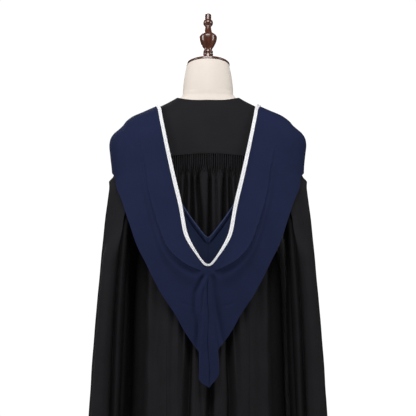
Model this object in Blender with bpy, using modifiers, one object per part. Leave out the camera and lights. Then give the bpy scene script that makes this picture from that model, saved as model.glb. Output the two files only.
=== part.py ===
"""A graduation gown with its hood, worn on a limbless dress form.

Metres, +Z up. The wearer's front faces -Y, the back +Y, the wearer's left is +X.
The origin is on the floor, on the axis of the stand.

Every cloth surface is worked out from level sections: half width, back and front depth at
a height. A wall is a net of points on such a surface and the same net moved inwards.
Folds only ever go inwards from a section, so whatever is worn over it stays clear.
"""

import math

import bmesh
import bpy
from mathutils import Matrix, Vector

# Cloth and seams
CLOTH = 0.0022
HOOD_CLOTH = 0.0024
LINING_CLOTH = 0.0016
SEAM_GAP = 0.0003
TRIM_GAP = 0.0008
LINING_GAP = 0.0018

# Gown
NAPE_HEIGHT = 1.422
NECK_SIDE_HEIGHT = 1.431
YOKE_SEAM_HEIGHT = 1.285
YOKE_SEAM_CURVE = 0.72
FRONT_SEAM_HEIGHT = 1.338
UNDERARM_HEIGHT = 1.115
HEM_HEIGHT = 0.26
FLUTE_COUNT = 44
FLUTE_PITCH = 0.0054
FLUTE_DEPTH = 0.0034
ARMHOLE_TOP = (0.2000, 1.369)
ARMHOLE_BOTTOM = (0.1720, 1.115)
YOKE_ROWS = 7

# Hood
TRIM_WIDTH = 0.0108
TRIM_THICKNESS = 0.0014
SLEEVE_SWELL = 0.014
HOOD_SIDE_EDGE = 1.238
SLEEVE_ROOM = 0.0046

# Dress form and stand
NECK_TILT = math.radians(16.0)
NECK_TOP = Vector((0.0, -0.021, 1.5145))
POLE_RADIUS = 0.016
BASE_RADIUS = 0.205
BASE_THICKNESS = 0.022
FORM_BOTTOM = 0.745
FORM_ROOM = 0.0033


def table(columns, *rows):
    """Rows with named columns."""
    names = columns.split()
    return [dict(zip(names, row, strict=True)) for row in rows]


# The gown's outer surface, ridges of its folds included.
GOWN_SECTIONS = table(
    "height half_width back front squareness",
    (1.440, 0.0700, 0.0560, 0.0400, 2.10),
    (1.431, 0.0810, 0.0600, 0.0450, 2.15),
    (1.4200, 0.1000, 0.0650, 0.0520, 2.22),
    (1.4106, 0.1190, 0.0710, 0.0600, 2.30),
    (1.3956, 0.1515, 0.0815, 0.0710, 2.40),
    (1.3800, 0.1840, 0.0915, 0.0815, 2.48),
    (1.369, 0.2000, 0.0965, 0.0870, 2.50),
    (1.352, 0.2090, 0.1035, 0.0955, 2.60),
    (1.330, 0.2170, 0.1110, 0.1060, 2.60),
    (1.285, 0.2150, 0.1210, 0.1230, 2.60),
    (1.220, 0.2030, 0.1320, 0.1370, 2.60),
    (1.160, 0.1850, 0.1390, 0.1440, 2.55),
    (1.115, 0.1720, 0.1430, 0.1470, 2.50),
    (1.050, 0.1760, 0.1480, 0.1500, 2.45),
    (1.000, 0.1820, 0.1510, 0.1520, 2.40),
    (0.900, 0.1880, 0.1575, 0.1570, 2.40),
    (0.800, 0.1920, 0.1640, 0.1630, 2.40),
    (0.620, 0.1990, 0.1760, 0.1750, 2.40),
    (0.400, 0.2180, 0.1900, 0.1890, 2.40),
    (0.250, 0.2320, 0.1990, 0.1980, 2.40),
)

# What the hood lies on: the gown, its sleeve heads and sleeves together.
HOOD_BED_SECTIONS = table(
    "height half_width back front squareness",
    (1.440, 0.0720, 0.0575, 0.0415, 2.10),
    (1.431, 0.0840, 0.0620, 0.0470, 2.15),
    (1.4210, 0.1030, 0.0670, 0.0540, 2.22),
    (1.4130, 0.1200, 0.0728, 0.0620, 2.30),
    (1.3978, 0.1545, 0.0830, 0.0730, 2.40),
    (1.3822, 0.1895, 0.0930, 0.0830, 2.48),
    (1.3665, 0.2095, 0.1005, 0.0920, 2.52),
    (1.352, 0.2225, 0.1065, 0.0985, 2.55),
    (1.338, 0.2385, 0.1110, 0.1045, 2.55),
    (1.324, 0.2465, 0.1150, 0.1100, 2.52),
    (1.310, 0.2485, 0.1185, 0.1160, 2.50),
    (1.285, 0.2460, 0.1235, 0.1255, 2.50),
    (1.240, 0.2425, 0.1315, 0.1350, 2.50),
    (1.200, 0.2480, 0.1370, 0.1410, 2.50),
    (1.115, 0.2620, 0.1455, 0.1500, 2.50),
    (1.000, 0.2760, 0.1535, 0.1550, 2.50),
    (0.900, 0.2800, 0.1600, 0.1600, 2.50),
    (0.800, 0.2900, 0.1665, 0.1650, 2.50),
    (0.620, 0.3050, 0.1785, 0.1770, 2.50),
)

# The dress form: neck, shoulders, a plain torso and a cut-off hip.
FORM_SECTIONS = table(
    "height half_width back front centre squareness",
    (1.4480, 0.0650, 0.0560, 0.0570, -0.0060, 2.00),
    (1.4357, 0.0714, 0.0585, 0.0560, -0.0020, 2.05),
    (1.4270, 0.0820, 0.0600, 0.0530, 0.0000, 2.10),
    (1.4180, 0.1010, 0.0620, 0.0550, 0.0000, 2.20),
    (1.4060, 0.1290, 0.0660, 0.0600, 0.0000, 2.30),
    (1.3900, 0.1580, 0.0735, 0.0690, 0.0000, 2.40),
    (1.3720, 0.1800, 0.0815, 0.0780, 0.0000, 2.50),
    (1.3550, 0.1870, 0.0900, 0.0860, 0.0000, 2.50),
    (1.3300, 0.1840, 0.0950, 0.0950, 0.0000, 2.50),
    (1.2800, 0.1680, 0.0990, 0.1080, 0.0000, 2.40),
    (1.2200, 0.1570, 0.1000, 0.1180, 0.0000, 2.30),
    (1.1600, 0.1510, 0.0970, 0.1200, 0.0000, 2.25),
    (1.1000, 0.1420, 0.0910, 0.1120, 0.0000, 2.20),
    (1.0300, 0.1300, 0.0840, 0.0960, 0.0000, 2.15),
    (0.9900, 0.1270, 0.0820, 0.0900, 0.0000, 2.15),
    (0.9300, 0.1350, 0.0920, 0.0910, 0.0000, 2.20),
    (0.8600, 0.1470, 0.1060, 0.0950, 0.0000, 2.30),
    (0.8000, 0.1520, 0.1100, 0.0960, 0.0000, 2.30),
    (0.7600, 0.1500, 0.1070, 0.0930, 0.0000, 2.30),
    (0.7450, 0.1460, 0.1030, 0.0900, 0.0000, 2.30),
)

# Front edge of the open gown: distance from the middle plane.
FRONT_EDGE = table(
    "height reach",
    (1.431, 0.0600),
    (1.395, 0.0620),
    (1.340, 0.0590),
    (1.200, 0.0560),
    (1.000, 0.0560),
    (0.600, 0.0600),
    (0.260, 0.0660),
)

# Folds of the back: place across at four heights, depth there, and width.
BACK_FOLDS = table(
    "high upper lower hem width depth_high depth_upper depth_lower depth_hem",
    (0.0735, 0.0800, 0.0900, 0.1000, 0.0085, 0.009, 0.008, 0.006, 0.014),
    (0.0560, 0.0590, 0.0620, 0.0660, 0.0065, 0.012, 0.012, 0.004, 0.010),
    (0.0400, 0.0395, 0.0450, 0.0500, 0.0060, 0.014, 0.014, 0.022, 0.026),
    (0.0230, 0.0190, 0.0190, 0.0210, 0.0075, 0.015, 0.016, 0.006, 0.012),
    (-0.0040, -0.0045, -0.0050, -0.0060, 0.0060, 0.016, 0.018, 0.024, 0.030),
    (-0.0195, -0.0240, -0.0260, -0.0260, 0.0055, 0.010, 0.004, 0.004, 0.010),
    (-0.0410, -0.0400, -0.0560, -0.0600, 0.0070, 0.015, 0.016, 0.024, 0.028),
    (-0.0550, -0.0600, -0.0700, -0.0800, 0.0080, 0.010, 0.008, 0.004, 0.010),
    (-0.0700, -0.0820, -0.0960, -0.1040, 0.0085, 0.009, 0.008, 0.006, 0.014),
    (0.1060, 0.1200, 0.1380, 0.1500, 0.0130, 0.006, 0.014, 0.020, 0.026),
    (-0.1060, -0.1200, -0.1400, -0.1520, 0.0130, 0.006, 0.014, 0.020, 0.026),
    (0.1450, 0.1450, 0.1640, 0.1840, 0.0120, 0.002, 0.008, 0.016, 0.022),
    (-0.1450, -0.1450, -0.1660, -0.1860, 0.0120, 0.002, 0.008, 0.016, 0.022),
)
BACK_FOLD_HEIGHTS = (1.215, 1.100, 0.700, 0.260)

# Folds of each front, from the edge outwards.
FRONT_FOLDS = table(
    "high upper lower hem width depth_high depth_upper depth_lower depth_hem",
    (0.0900, 0.0880, 0.0900, 0.0950, 0.0090, 0.004, 0.012, 0.018, 0.022),
    (0.1180, 0.1160, 0.1250, 0.1320, 0.0100, 0.003, 0.012, 0.020, 0.026),
    (0.1440, 0.1420, 0.1600, 0.1720, 0.0110, 0.002, 0.008, 0.018, 0.024),
)
FRONT_FOLD_HEIGHTS = (1.260, 1.100, 0.700, 0.260)

# A sleeve's rings, from just past the armhole down to the cuff. The outer and the inner
# (underarm) point of each, its depth to the back and front, how far its back drops, and how
# far its front hangs in before the body.
SLEEVE_RINGS = table(
    "outer_x outer_z inner_x inner_z back front drop tuck",
    (0.2130, 1.3510, 0.1800, 1.1090, 0.0860, 0.0850, 0.000, 0.000),
    (0.2255, 1.3350, 0.1840, 1.1030, 0.0950, 0.0950, 0.000, 0.000),
    (0.2400, 1.3000, 0.1880, 1.0920, 0.1030, 0.1060, 0.000, 0.000),
    (0.2385, 1.2450, 0.1910, 1.0800, 0.1070, 0.1130, 0.000, 0.000),
    (0.2490, 1.2150, 0.1920, 1.0680, 0.1090, 0.1160, 0.000, 0.000),
    (0.2600, 1.1400, 0.1935, 1.0400, 0.1120, 0.1230, 0.000, 0.006),
    (0.2755, 1.0000, 0.1970, 0.9700, 0.1190, 0.1330, 0.000, 0.018),
    (0.2845, 0.9000, 0.1990, 0.8950, 0.1240, 0.1400, 0.000, 0.026),
    (0.2930, 0.8000, 0.2010, 0.8000, 0.1300, 0.1480, 0.000, 0.030),
    (0.3000, 0.7000, 0.2040, 0.7000, 0.1370, 0.1560, 0.010, 0.030),
    (0.3070, 0.6100, 0.2080, 0.6100, 0.1440, 0.1640, 0.040, 0.030),
    (0.3110, 0.5400, 0.2110, 0.5400, 0.1490, 0.1690, 0.085, 0.030),
)
SLEEVE_SQUARENESS = 2.5

# Folds round a sleeve: degrees round from its outer side, the back being 90.
SLEEVE_FOLDS = table(
    "angle_high angle_low spread depth_high depth_low",
    (-158.0, -158.0, 10.0, 0.004, 0.012),
    (-112.0, -112.0, 10.0, 0.012, 0.026),
    (-66.0, -64.0, 9.0, 0.006, 0.018),
    (-28.0, -30.0, 9.0, 0.008, 0.022),
    (10.0, 8.0, 9.0, 0.008, 0.020),
    (40.0, 37.0, 8.0, 0.008, 0.022),
    (68.0, 64.0, 8.0, 0.006, 0.016),
    (112.0, 106.0, 9.0, 0.016, 0.030),
)
SLEEVE_FOLD_TOP = 1.24
SLEEVE_FOLD_LOW = 0.62

# Stations of one half of the hood, from the chest over the shoulder down to the tail.
# Across each one it runs from its neck edge over a raised crease and the foot of that
# crease to its outer edge. Lifts are heights over the gown.
HOOD_STATIONS = table(
    "face inner_x inner_y inner_z outer_x outer_y outer_z crease foot"
    " inner_lift crease_lift foot_lift outer_lift",
    ("front", 0.0000, None, 1.1980, 0.0000, None, 1.1020, 0.50, 0.75, 4, 4, 4, 4),
    ("front", 0.0200, None, 1.2260, 0.0400, None, 1.1240, 0.50, 0.75, 4, 4, 4, 4),
    ("front", 0.0500, None, 1.2720, 0.0950, None, 1.1560, 0.50, 0.75, 4, 4, 4, 4),
    ("front", 0.0780, None, 1.3150, 0.1500, None, 1.1930, 0.50, 0.75, 4, 4, 4, 4),
    ("front", 0.1015, None, 1.3550, 0.1930, None, 1.2200, 0.50, 0.75, 4, 4, 3, 4),
    ("top", 0.1170, -0.050, None, None, -0.060, 1.2330, 0.50, 0.75, 4, 3, 3, 4),
    ("top", 0.1230, -0.025, None, None, -0.026, 1.2400, 0.50, 0.75, 2.4, 2.6, 3, 3),
    ("top", 0.1250, 0.000, None, None, 0.006, 1.2400, 0.45, 0.72, 2.4, 2.6, 3, 3),
    ("top", 0.1232, 0.028, None, None, 0.034, 1.2360, 0.42, 0.70, 2.4, 2.6, 3, 3),
    ("top", 0.1180, 0.056, None, None, 0.056, 1.2270, 0.38, 0.62, 3, 3, 3, 3),
    ("back", 0.1100, None, 1.3640, 0.2290, None, 1.2050, 0.40, 0.58, 4, 5, 3, 3),
    ("back", 0.0960, None, 1.3000, 0.2140, None, 1.1700, 0.44, 0.60, 5, 9, 4, 3),
    ("back", 0.0805, None, 1.2330, 0.1950, None, 1.1180, 0.50, 0.66, 9, 15, 5, 4),
    ("back", 0.0625, None, 1.1590, 0.1715, None, 1.0520, 0.50, 0.68, 17, 22, 6, 4),
    ("back", 0.0490, None, 1.0890, 0.1525, None, 1.0160, 0.46, 0.70, 28, 31, 9, 5),
    ("back", 0.0365, None, 1.0600, 0.1310, None, 0.9720, 0.38, 0.68, 36, 37, 12, 5),
    ("back", 0.0245, None, 1.0390, 0.1090, None, 0.9330, 0.28, 0.64, 42, 41, 16, 6),
    ("back", 0.0140, None, 1.0230, 0.0920, None, 0.9080, 0.20, 0.58, 46, 44, 20, 6),
    ("back", 0.0075, None, 1.0150, 0.0775, None, 0.8860, 0.15, 0.52, 48, 45, 24, 7),
    ("back", 0.0050, None, 1.0130, 0.0630, None, 0.8590, 0.13, 0.50, 48, 45, 26, 8),
    ("back", 0.0036, None, 1.0124, 0.0480, None, 0.8350, 0.12, 0.50, 48, 45, 27, 8),
    ("back", 0.0026, None, 1.0120, 0.0350, None, 0.8170, 0.12, 0.50, 48, 45, 28, 9),
    ("back", 0.0017, None, 1.0120, 0.0240, None, 0.8020, 0.12, 0.52, 48, 45, 29, 10),
    ("back", 0.0010, None, 1.0120, 0.0232, None, 0.7980, 0.12, 0.55, 48, 45, 32, 21),
    ("back", 0.0005, None, 1.0120, 0.0245, None, 0.7440, 0.10, 0.52, 48, 45, 32, 18),
    ("back", 0.0000, None, 1.0120, 0.0000, None, 0.7130, 0.09, 0.50, 48, 45, 33, 17),
)
HOOD_LIFT_UNIT = 0.001

# Where along the stations the hood has rows of points, closer where it rounds the arms.
HOOD_ROWS = (
    *(0.0, 1.2, 2.4, 3.4, 4.0, 4.5, 5.0, 5.6, 6.4, 7.2),
    *(8.0, 8.7, 9.2, 9.6, 10.0, 10.4, 10.9, 11.5, 12.2, 13.0),
    *(14.0, 15.0, 16.0, 17.0, 18.0, 20.0, 22.0, 23.0, 24.0, 25.0),
)

# The lining that shows inside the hood's mouth, from the side to the middle: its top edge
# on the gown's back, and the hood station it comes up behind on its way to the trim.
LINING_STATIONS = table(
    "top_x top_z roll near_station floor_share",
    (0.0760, 1.1840, 4.0, 12.6, 0.30),
    (0.0620, 1.1560, 7.0, 13.4, 0.32),
    (0.0430, 1.1270, 10.0, 14.6, 0.34),
    (0.0260, 1.1040, 11.0, 16.0, 0.36),
    (0.0120, 1.0860, 11.0, 17.4, 0.40),
    (0.0030, 1.0770, 9.0, 20.0, 0.36),
    (0.0000, 1.0760, 8.0, 25.0, 0.30),
)

# Turned neck cap and knob: distance along its axis from the top of the neck, and radius.
KNOB_PROFILE = table(
    "along radius",
    (0.0000, 0.0540),
    (0.0015, 0.0556),
    (0.0050, 0.0556),
    (0.0075, 0.0530),
    (0.0095, 0.0420),
    (0.0115, 0.0250),
    (0.0130, 0.0150),
    (0.0300, 0.0128),
    (0.0330, 0.0132),
    (0.0352, 0.0105),
    (0.0375, 0.0128),
    (0.0410, 0.0128),
    (0.0435, 0.0100),
    (0.0480, 0.0110),
    (0.0560, 0.0155),
    (0.0660, 0.0203),
    (0.0750, 0.0228),
    (0.0800, 0.0232),
    (0.0840, 0.0215),
    (0.0885, 0.0165),
    (0.0915, 0.0122),
    (0.0960, 0.0100),
    (0.1040, 0.0084),
    (0.1110, 0.0077),
    (0.1130, 0.0100),
    (0.1175, 0.0126),
    (0.1215, 0.0130),
    (0.1260, 0.0118),
    (0.1290, 0.0082),
    (0.1380, 0.0084),
    (0.1430, 0.0082),
    (0.1452, 0.0060),
)


class Track:
    """One column of a table as a smooth function that never overshoots its rows."""

    def __init__(self, rows, by, name):
        pairs = sorted((row[by], row[name]) for row in rows)
        self.at = [pair[0] for pair in pairs]
        self.value = [float(pair[1]) for pair in pairs]
        spans = range(len(pairs) - 1)
        self.step = [self.at[i + 1] - self.at[i] for i in spans]
        rise = [(self.value[i + 1] - self.value[i]) / self.step[i] for i in spans]
        self.slope = [rise[0]]
        for before, after in zip(rise, rise[1:]):
            same_way = before * after > 0
            self.slope.append(2 * before * after / (before + after) if same_way else 0.0)
        self.slope.append(rise[-1])

    def __call__(self, at):
        if at <= self.at[0]:
            return self.value[0]
        if at >= self.at[-1]:
            return self.value[-1]
        i = max(k for k in range(len(self.step)) if self.at[k] <= at)
        h = self.step[i]
        t = (at - self.at[i]) / h
        return (
            self.value[i] * (1 + 2 * t) * (1 - t) ** 2
            + self.slope[i] * h * t * (1 - t) ** 2
            + self.value[i + 1] * t * t * (3 - 2 * t)
            + self.slope[i + 1] * h * t * t * (t - 1)
        )


class Sections:
    """A closed surface given by level sections. Angle 0 is the wearer's left side (+X), 90 degrees the back."""

    def __init__(self, rows):
        self.half_width = Track(rows, "height", "half_width")
        self.back = Track(rows, "height", "back")
        self.front = Track(rows, "height", "front")
        self.squareness = Track(rows, "height", "squareness")
        centred = "centre" in rows[0]
        self.centre = Track(rows, "height", "centre") if centred else lambda height: 0.0

    def point(self, angle, height):
        power = 2.0 / self.squareness(height)
        across, along = math.cos(angle), math.sin(angle)
        depth = self.back(height) if along > 0 else self.front(height)
        x = math.copysign(abs(across) ** power, across) * self.half_width(height)
        y = math.copysign(abs(along) ** power, along) * depth + self.centre(height)
        return Vector((x, y, height))

    def angle_at(self, x, height, side):
        """The angle at which the surface is x from the middle plane. Side is 1 for the back, -1 for the front."""
        share = min(1.0, abs(x) / self.half_width(height))
        angle = math.acos(share ** (self.squareness(height) / 2.0))
        return side * (angle if x >= 0 else math.pi - angle)

    def on_face(self, x, height, side):
        return self.point(self.angle_at(x, height, side), height)

    def excess(self, p):
        """Below 0 inside the surface, above 0 outside."""
        power = self.squareness(p.z)
        depth = self.back(p.z) if p.y > 0 else self.front(p.z)
        return (abs(p.x / self.half_width(p.z)) ** power + abs(p.y / depth) ** power) ** (1 / power) - 1

    def gradient(self, p):
        step = 0.0005
        return Vector(
            [
                (self.excess(p + step * axis) - self.excess(p - step * axis)) / (2 * step)
                for axis in (Vector((1, 0, 0)), Vector((0, 1, 0)), Vector((0, 0, 1)))
            ]
        )

    def settle(self, p):
        """The point of the surface nearest to p, closely enough."""
        for _ in range(12):
            slope = self.gradient(p)
            p = p - slope * (0.8 * self.excess(p) / slope.length_squared)
        return p

    def outward(self, p):
        return self.gradient(p).normalized()

    def top_at(self, x, y):
        """The point of the shoulders above (x, y)."""
        low, high = 1.20, 1.44
        for _ in range(40):
            middle = (low + high) / 2
            inside = self.excess(Vector((x, y, middle))) < 0
            low, high = (middle, high) if inside else (low, middle)
        return Vector((x, y, low))

    def side_at(self, y, height):
        """The point of the left side at a depth and height."""
        power = self.squareness(height)
        depth = self.back(height) if y > 0 else self.front(height)
        share = (1 - abs(y / depth) ** power) ** (1 / power)
        return Vector((self.half_width(height) * share, y, height))


GOWN = Sections(GOWN_SECTIONS)
HOOD_BED = Sections(HOOD_BED_SECTIONS)
FORM = Sections(FORM_SECTIONS)
FRONT_EDGE_REACH = Track(FRONT_EDGE, "height", "reach")


def mix(a, b, share):
    return a + (b - a) * share


def ease(at, start, end):
    """0 before start, 1 after end, smooth between."""
    share = min(1.0, max(0.0, (at - start) / (end - start)))
    return share * share * (3 - 2 * share)


# Solids


def material(name, colour, roughness, metallic=0.0):
    made = bpy.data.materials.new(name)
    made.use_nodes = True
    shader = made.node_tree.nodes["Principled BSDF"]
    shader.inputs["Base Color"].default_value = (*colour, 1.0)
    shader.inputs["Roughness"].default_value = roughness
    shader.inputs["Metallic"].default_value = metallic
    return made


def object_from(bm, name, finish):
    bmesh.ops.recalc_face_normals(bm, faces=bm.faces)
    mesh = bpy.data.meshes.new(name)
    bm.to_mesh(mesh)
    bm.free()
    mesh.materials.append(finish)
    mesh.shade_smooth()
    mesh.set_sharp_from_angle(angle=math.radians(50))
    made = bpy.data.objects.new(name, mesh)
    PARTS.objects.link(made)
    return made


def bridge(bm, first, second, looped):
    """Faces between two rows of vertices, which may differ in number."""
    if looped:
        first, second = first + first[:1], second + second[:1]
    i = j = 0
    last_i, last_j = len(first) - 1, len(second) - 1
    while i < last_i or j < last_j:
        if last_i == last_j:
            bm.faces.new((first[i], first[i + 1], second[j + 1], second[j]))
            i, j = i + 1, j + 1
        elif j == last_j or (i < last_i and (i + 1) / last_i <= (j + 1) / last_j):
            bm.faces.new((first[i], first[i + 1], second[j]))
            i += 1
        else:
            bm.faces.new((first[i], second[j + 1], second[j]))
            j += 1


def wall(name, outer, inner, finish, looped=False):
    """A closed wall between an outer and an inner net, each a list of rows of points."""
    bm = bmesh.new()
    nets = [[[bm.verts.new(p) for p in row] for row in net] for net in (outer, inner)]
    for net in nets:
        for first, second in zip(net, net[1:]):
            bridge(bm, first, second, looped)
    outside, inside = nets
    bridge(bm, outside[0], inside[0], looped)
    bridge(bm, outside[-1], inside[-1], looped)
    if not looped:
        for end in (0, -1):
            bridge(bm, [row[end] for row in outside], [row[end] for row in inside], False)
    return object_from(bm, name, finish)


def capped(name, rings, finish):
    """A solid through closed rings, with flat ends."""
    bm = bmesh.new()
    rows = [[bm.verts.new(p) for p in ring] for ring in rings]
    for first, second in zip(rows, rows[1:]):
        bridge(bm, first, second, True)
    bm.faces.new(rows[0])
    bm.faces.new(rows[-1])
    return object_from(bm, name, finish)


def turned(name, profile, steps, finish, place):
    """A profile of (radius, height) pairs, top to bottom, turned about Z and closed on its axis."""
    points = [(0.0, profile[0][1]), *profile, (0.0, profile[-1][1])]
    mesh = bpy.data.meshes.new(name)
    edges = [(i, i + 1) for i in range(len(points) - 1)]
    mesh.from_pydata([(radius, 0.0, height) for radius, height in points], edges, [])
    mesh.materials.append(finish)
    made = bpy.data.objects.new(name, mesh)
    PARTS.objects.link(made)
    screw = made.modifiers.new("turn", "SCREW")
    screw.steps = screw.render_steps = steps
    screw.use_merge_vertices = True
    screw.merge_threshold = 0.0001
    screw.use_smooth_shade = True
    made.matrix_world = place
    return made


# Folds


def fold_tracks(folds, heights):
    """Place and depth of each fold as functions of height."""
    made = []
    for fold in folds:
        places = [fold[key] for key in ("high", "upper", "lower", "hem")]
        depths = [fold[f"depth_{key}"] for key in ("high", "upper", "lower", "hem")]
        rows = table("height place depth", *zip(heights, places, depths))
        made.append((Track(rows, "height", "place"), Track(rows, "height", "depth"), fold["width"]))
    return made


BACK_TRACKS = fold_tracks(BACK_FOLDS, BACK_FOLD_HEIGHTS)
FRONT_TRACKS = fold_tracks(FRONT_FOLDS, FRONT_FOLD_HEIGHTS)
FOLD_GROWTH = 2.2


def folded(tracks, x, height, start, full):
    """How far inwards the folds take the cloth. They begin at the start height and are full lower down."""
    grown = 1 - ease(height, full, start)
    spread = 1 + FOLD_GROWTH * ease(-height, -1.15, -0.5)
    deepest = 0.0
    for place, depth, width in tracks:
        away = (x - place(height)) / (width * spread)
        deepest = max(deepest, depth(height) * math.exp(-away * away))
    return grown * deepest


def fluted(x, height, seam):
    """Depth of the fine gathers under the yoke, which run out into the folds."""
    half = FLUTE_COUNT * FLUTE_PITCH / 2
    if abs(x) > half:
        return 0.0
    wave = 0.5 - 0.5 * math.cos(2 * math.pi * x / FLUTE_PITCH)
    fading = ease(height, seam - 0.062, seam - 0.030)
    return FLUTE_DEPTH * wave * fading * (0.75 + 0.25 * ease(-height, -seam, -seam + 0.012))


# Gown


def yoke_seam(x):
    """Height of the seam under the back yoke, lower towards the armholes."""
    return YOKE_SEAM_HEIGHT - YOKE_SEAM_CURVE * x * x


def armhole_reach(height):
    """The armhole lies in one leaning plane: its distance from the middle at a height."""
    share = (height - ARMHOLE_BOTTOM[1]) / (ARMHOLE_TOP[1] - ARMHOLE_BOTTOM[1])
    return mix(ARMHOLE_BOTTOM[0], ARMHOLE_TOP[0], share)


def panel_reach(height):
    return armhole_reach(height) if height > UNDERARM_HEIGHT else GOWN.half_width(height)


def front_seam(x):
    return FRONT_SEAM_HEIGHT - 0.25 * (abs(x) - 0.06)


def armhole_corner(seam_height, side):
    """Where a seam meets the armhole: the angle and height."""
    height = 1.30
    for _ in range(20):
        height = seam_height(armhole_reach(height))
    return GOWN.angle_at(armhole_reach(height), height, side), height


def armhole_height(angle):
    """Height at which the upper part of the armhole crosses an angle."""
    low, high = armhole_corner(yoke_seam, 1)[1], ARMHOLE_TOP[1]
    for _ in range(40):
        middle = (low + high) / 2
        edge = GOWN.angle_at(armhole_reach(middle), middle, 1)
        low, high = (middle, high) if edge > abs(angle) else (low, middle)
    return low


def yoke_column(stretch, share, height):
    """Angle of a yoke column at a height. Stretches run from the front edge to the middle of the back."""
    back_corner = armhole_corner(yoke_seam, 1)[0]
    front_corner = armhole_corner(front_seam, -1)[0]
    if stretch == "front":
        edge = GOWN.angle_at(FRONT_EDGE_REACH(height), height, -1)
        return mix(edge, front_corner, share)
    if stretch == "front_shoulder":
        return mix(front_corner, 0.0, share)
    if stretch == "back_shoulder":
        return mix(0.0, back_corner, share)
    corner_x = armhole_reach(armhole_corner(yoke_seam, 1)[1])
    return GOWN.angle_at(corner_x * (1 - share), armhole_corner(yoke_seam, 1)[1], 1)


YOKE_STRETCHES = (("front", 5), ("front_shoulder", 5), ("back_shoulder", 6), ("back", 9))


def yoke_top(angle):
    """Height of the neckline at an angle, level at the back and dropping at the front."""
    turn = math.degrees(angle)
    if turn >= 0:
        return mix(NECK_SIDE_HEIGHT, NAPE_HEIGHT, ease(turn, 10, 80))
    return mix(NECK_SIDE_HEIGHT, 1.427, ease(-turn, 0, 50))


def yoke_bottom(stretch, share):
    """Height of the yoke's lower edge: front seam, armhole or back seam."""
    if stretch in ("front_shoulder", "back_shoulder"):
        return armhole_height(yoke_column(stretch, share, 0.0))
    seam = yoke_seam if stretch == "back" else front_seam
    height = seam(0.1)
    for _ in range(12):
        height = seam(GOWN.point(yoke_column(stretch, share, height), height).x)
    return height


def mirrored(point):
    return Vector((-point.x, point.y, point.z))


def make_yoke(finish):
    left_outer, left_inner = [], []
    for stretch, count in YOKE_STRETCHES:
        last = count + 1 if stretch == "back" else count
        for k in range(last):
            share = (k / count) ** (1.2 if stretch == "back" else 1.0)
            bottom = yoke_bottom(stretch, share)
            top = NAPE_HEIGHT
            for _ in range(12):
                top = yoke_top(yoke_column(stretch, share, top))
            outer = []
            for i in range(YOKE_ROWS + 1):
                height = mix(top, bottom, (i / YOKE_ROWS) ** 1.3)
                outer.append(GOWN.point(yoke_column(stretch, share, height), height))
            inner = [p - GOWN.outward(p) * CLOTH for p in outer]
            if stretch == "back":
                inner[-1].z = yoke_seam(inner[-1].x)
            elif stretch == "front" or k == 0 and stretch == "front_shoulder":
                inner[-1].z = front_seam(inner[-1].x)
            left_outer.append(outer)
            left_inner.append(inner)
    nets = []
    for net in (left_outer, left_inner):
        nets.append(net + [[mirrored(p) for p in row] for row in reversed(net[:-1])])
    return wall("yoke", *nets, finish)


def level_normal(angle, height):
    """Outward direction of a section, kept level."""
    normal = GOWN.gradient(GOWN.point(angle, height))
    normal.z = 0.0
    return normal.normalized()


def fold_columns(tracks, height, start, end):
    """Places across at which a panel has points: on each fold, beside it and between folds."""
    folds = sorted(place(height) for place, _, _ in tracks)
    across = [mix(start, folds[0], share) for share in (0.0, 0.3, 0.55, 0.8)]
    for here, there in zip(folds, folds[1:]):
        across += [mix(here, there, share) for share in (0.0, 0.3, 0.5, 0.7)]
    return across + [mix(folds[-1], end, share) for share in (0.0, 0.2, 0.45, 0.7, 1.0)]


def flute_columns(start, end):
    """Places across for the gathered rows: two to a flute, then a few plain ones."""
    half = FLUTE_COUNT
    fine = [FLUTE_PITCH / 2 * k for k in range(-half, half + 1)]
    before = [mix(start, fine[0], share) for share in (0.0, 0.25, 0.5, 0.75)]
    after = [mix(fine[-1], end, share) for share in (0.25, 0.5, 0.75, 1.0)]
    return before + fine + after


def panel_point(x, height, side, depth):
    """Outer and inner point of a panel, pushed in by a depth."""
    base = GOWN.on_face(x, height, side)
    angle = GOWN.angle_at(x, height, side)
    normal = level_normal(angle, height)
    fade = 1 - abs(x / GOWN.half_width(height)) ** 8
    outer = base - normal * depth * fade
    return outer, outer - normal * CLOTH


def held_off_side(point, side):
    """Keeps the side seam below the armhole half a gap off the middle of the side."""
    if point.z <= UNDERARM_HEIGHT + 0.0001:
        return Vector((point.x, side * SEAM_GAP * 0.6, point.z))
    return point


def back_row(level, fluting):
    """Points of the back panel at one level: outer and inner, from the right side to the left."""
    top = yoke_seam(0.0) - SEAM_GAP
    sag = ease(level, 1.15, top) * YOKE_SEAM_CURVE
    reach = panel_reach(level)
    for _ in range(12):
        reach = panel_reach(level - sag * reach * reach)
    if fluting:
        across = flute_columns(-reach, reach)
    else:
        across = fold_columns(BACK_TRACKS, level, -reach, reach)
    outer, inner = [], []
    for x in across:
        height = level - sag * x * x
        depth = folded(BACK_TRACKS, x, height, 1.262, 1.205)
        depth += fluted(x, height, yoke_seam(x)) if fluting else 0.0
        for net, point in zip((outer, inner), panel_point(x, height, 1, depth)):
            net.append(point)
    for net in (outer, inner):
        net[0], net[-1] = held_off_side(net[0], 1), held_off_side(net[-1], 1)
    return outer, inner


def make_back(finish):
    seam = yoke_seam(0.0) - SEAM_GAP
    rows = [back_row(seam - drop, True) for drop in (0.0, 0.011, 0.028, 0.046)]
    levels = (1.224, 1.195, 1.155, UNDERARM_HEIGHT, 1.055, 0.980, 0.880, 0.760, 0.620, 0.440, HEM_HEIGHT)
    rows += [back_row(level, False) for level in levels]
    return wall("back", [row[0] for row in rows], [row[1] for row in rows], finish)


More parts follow.
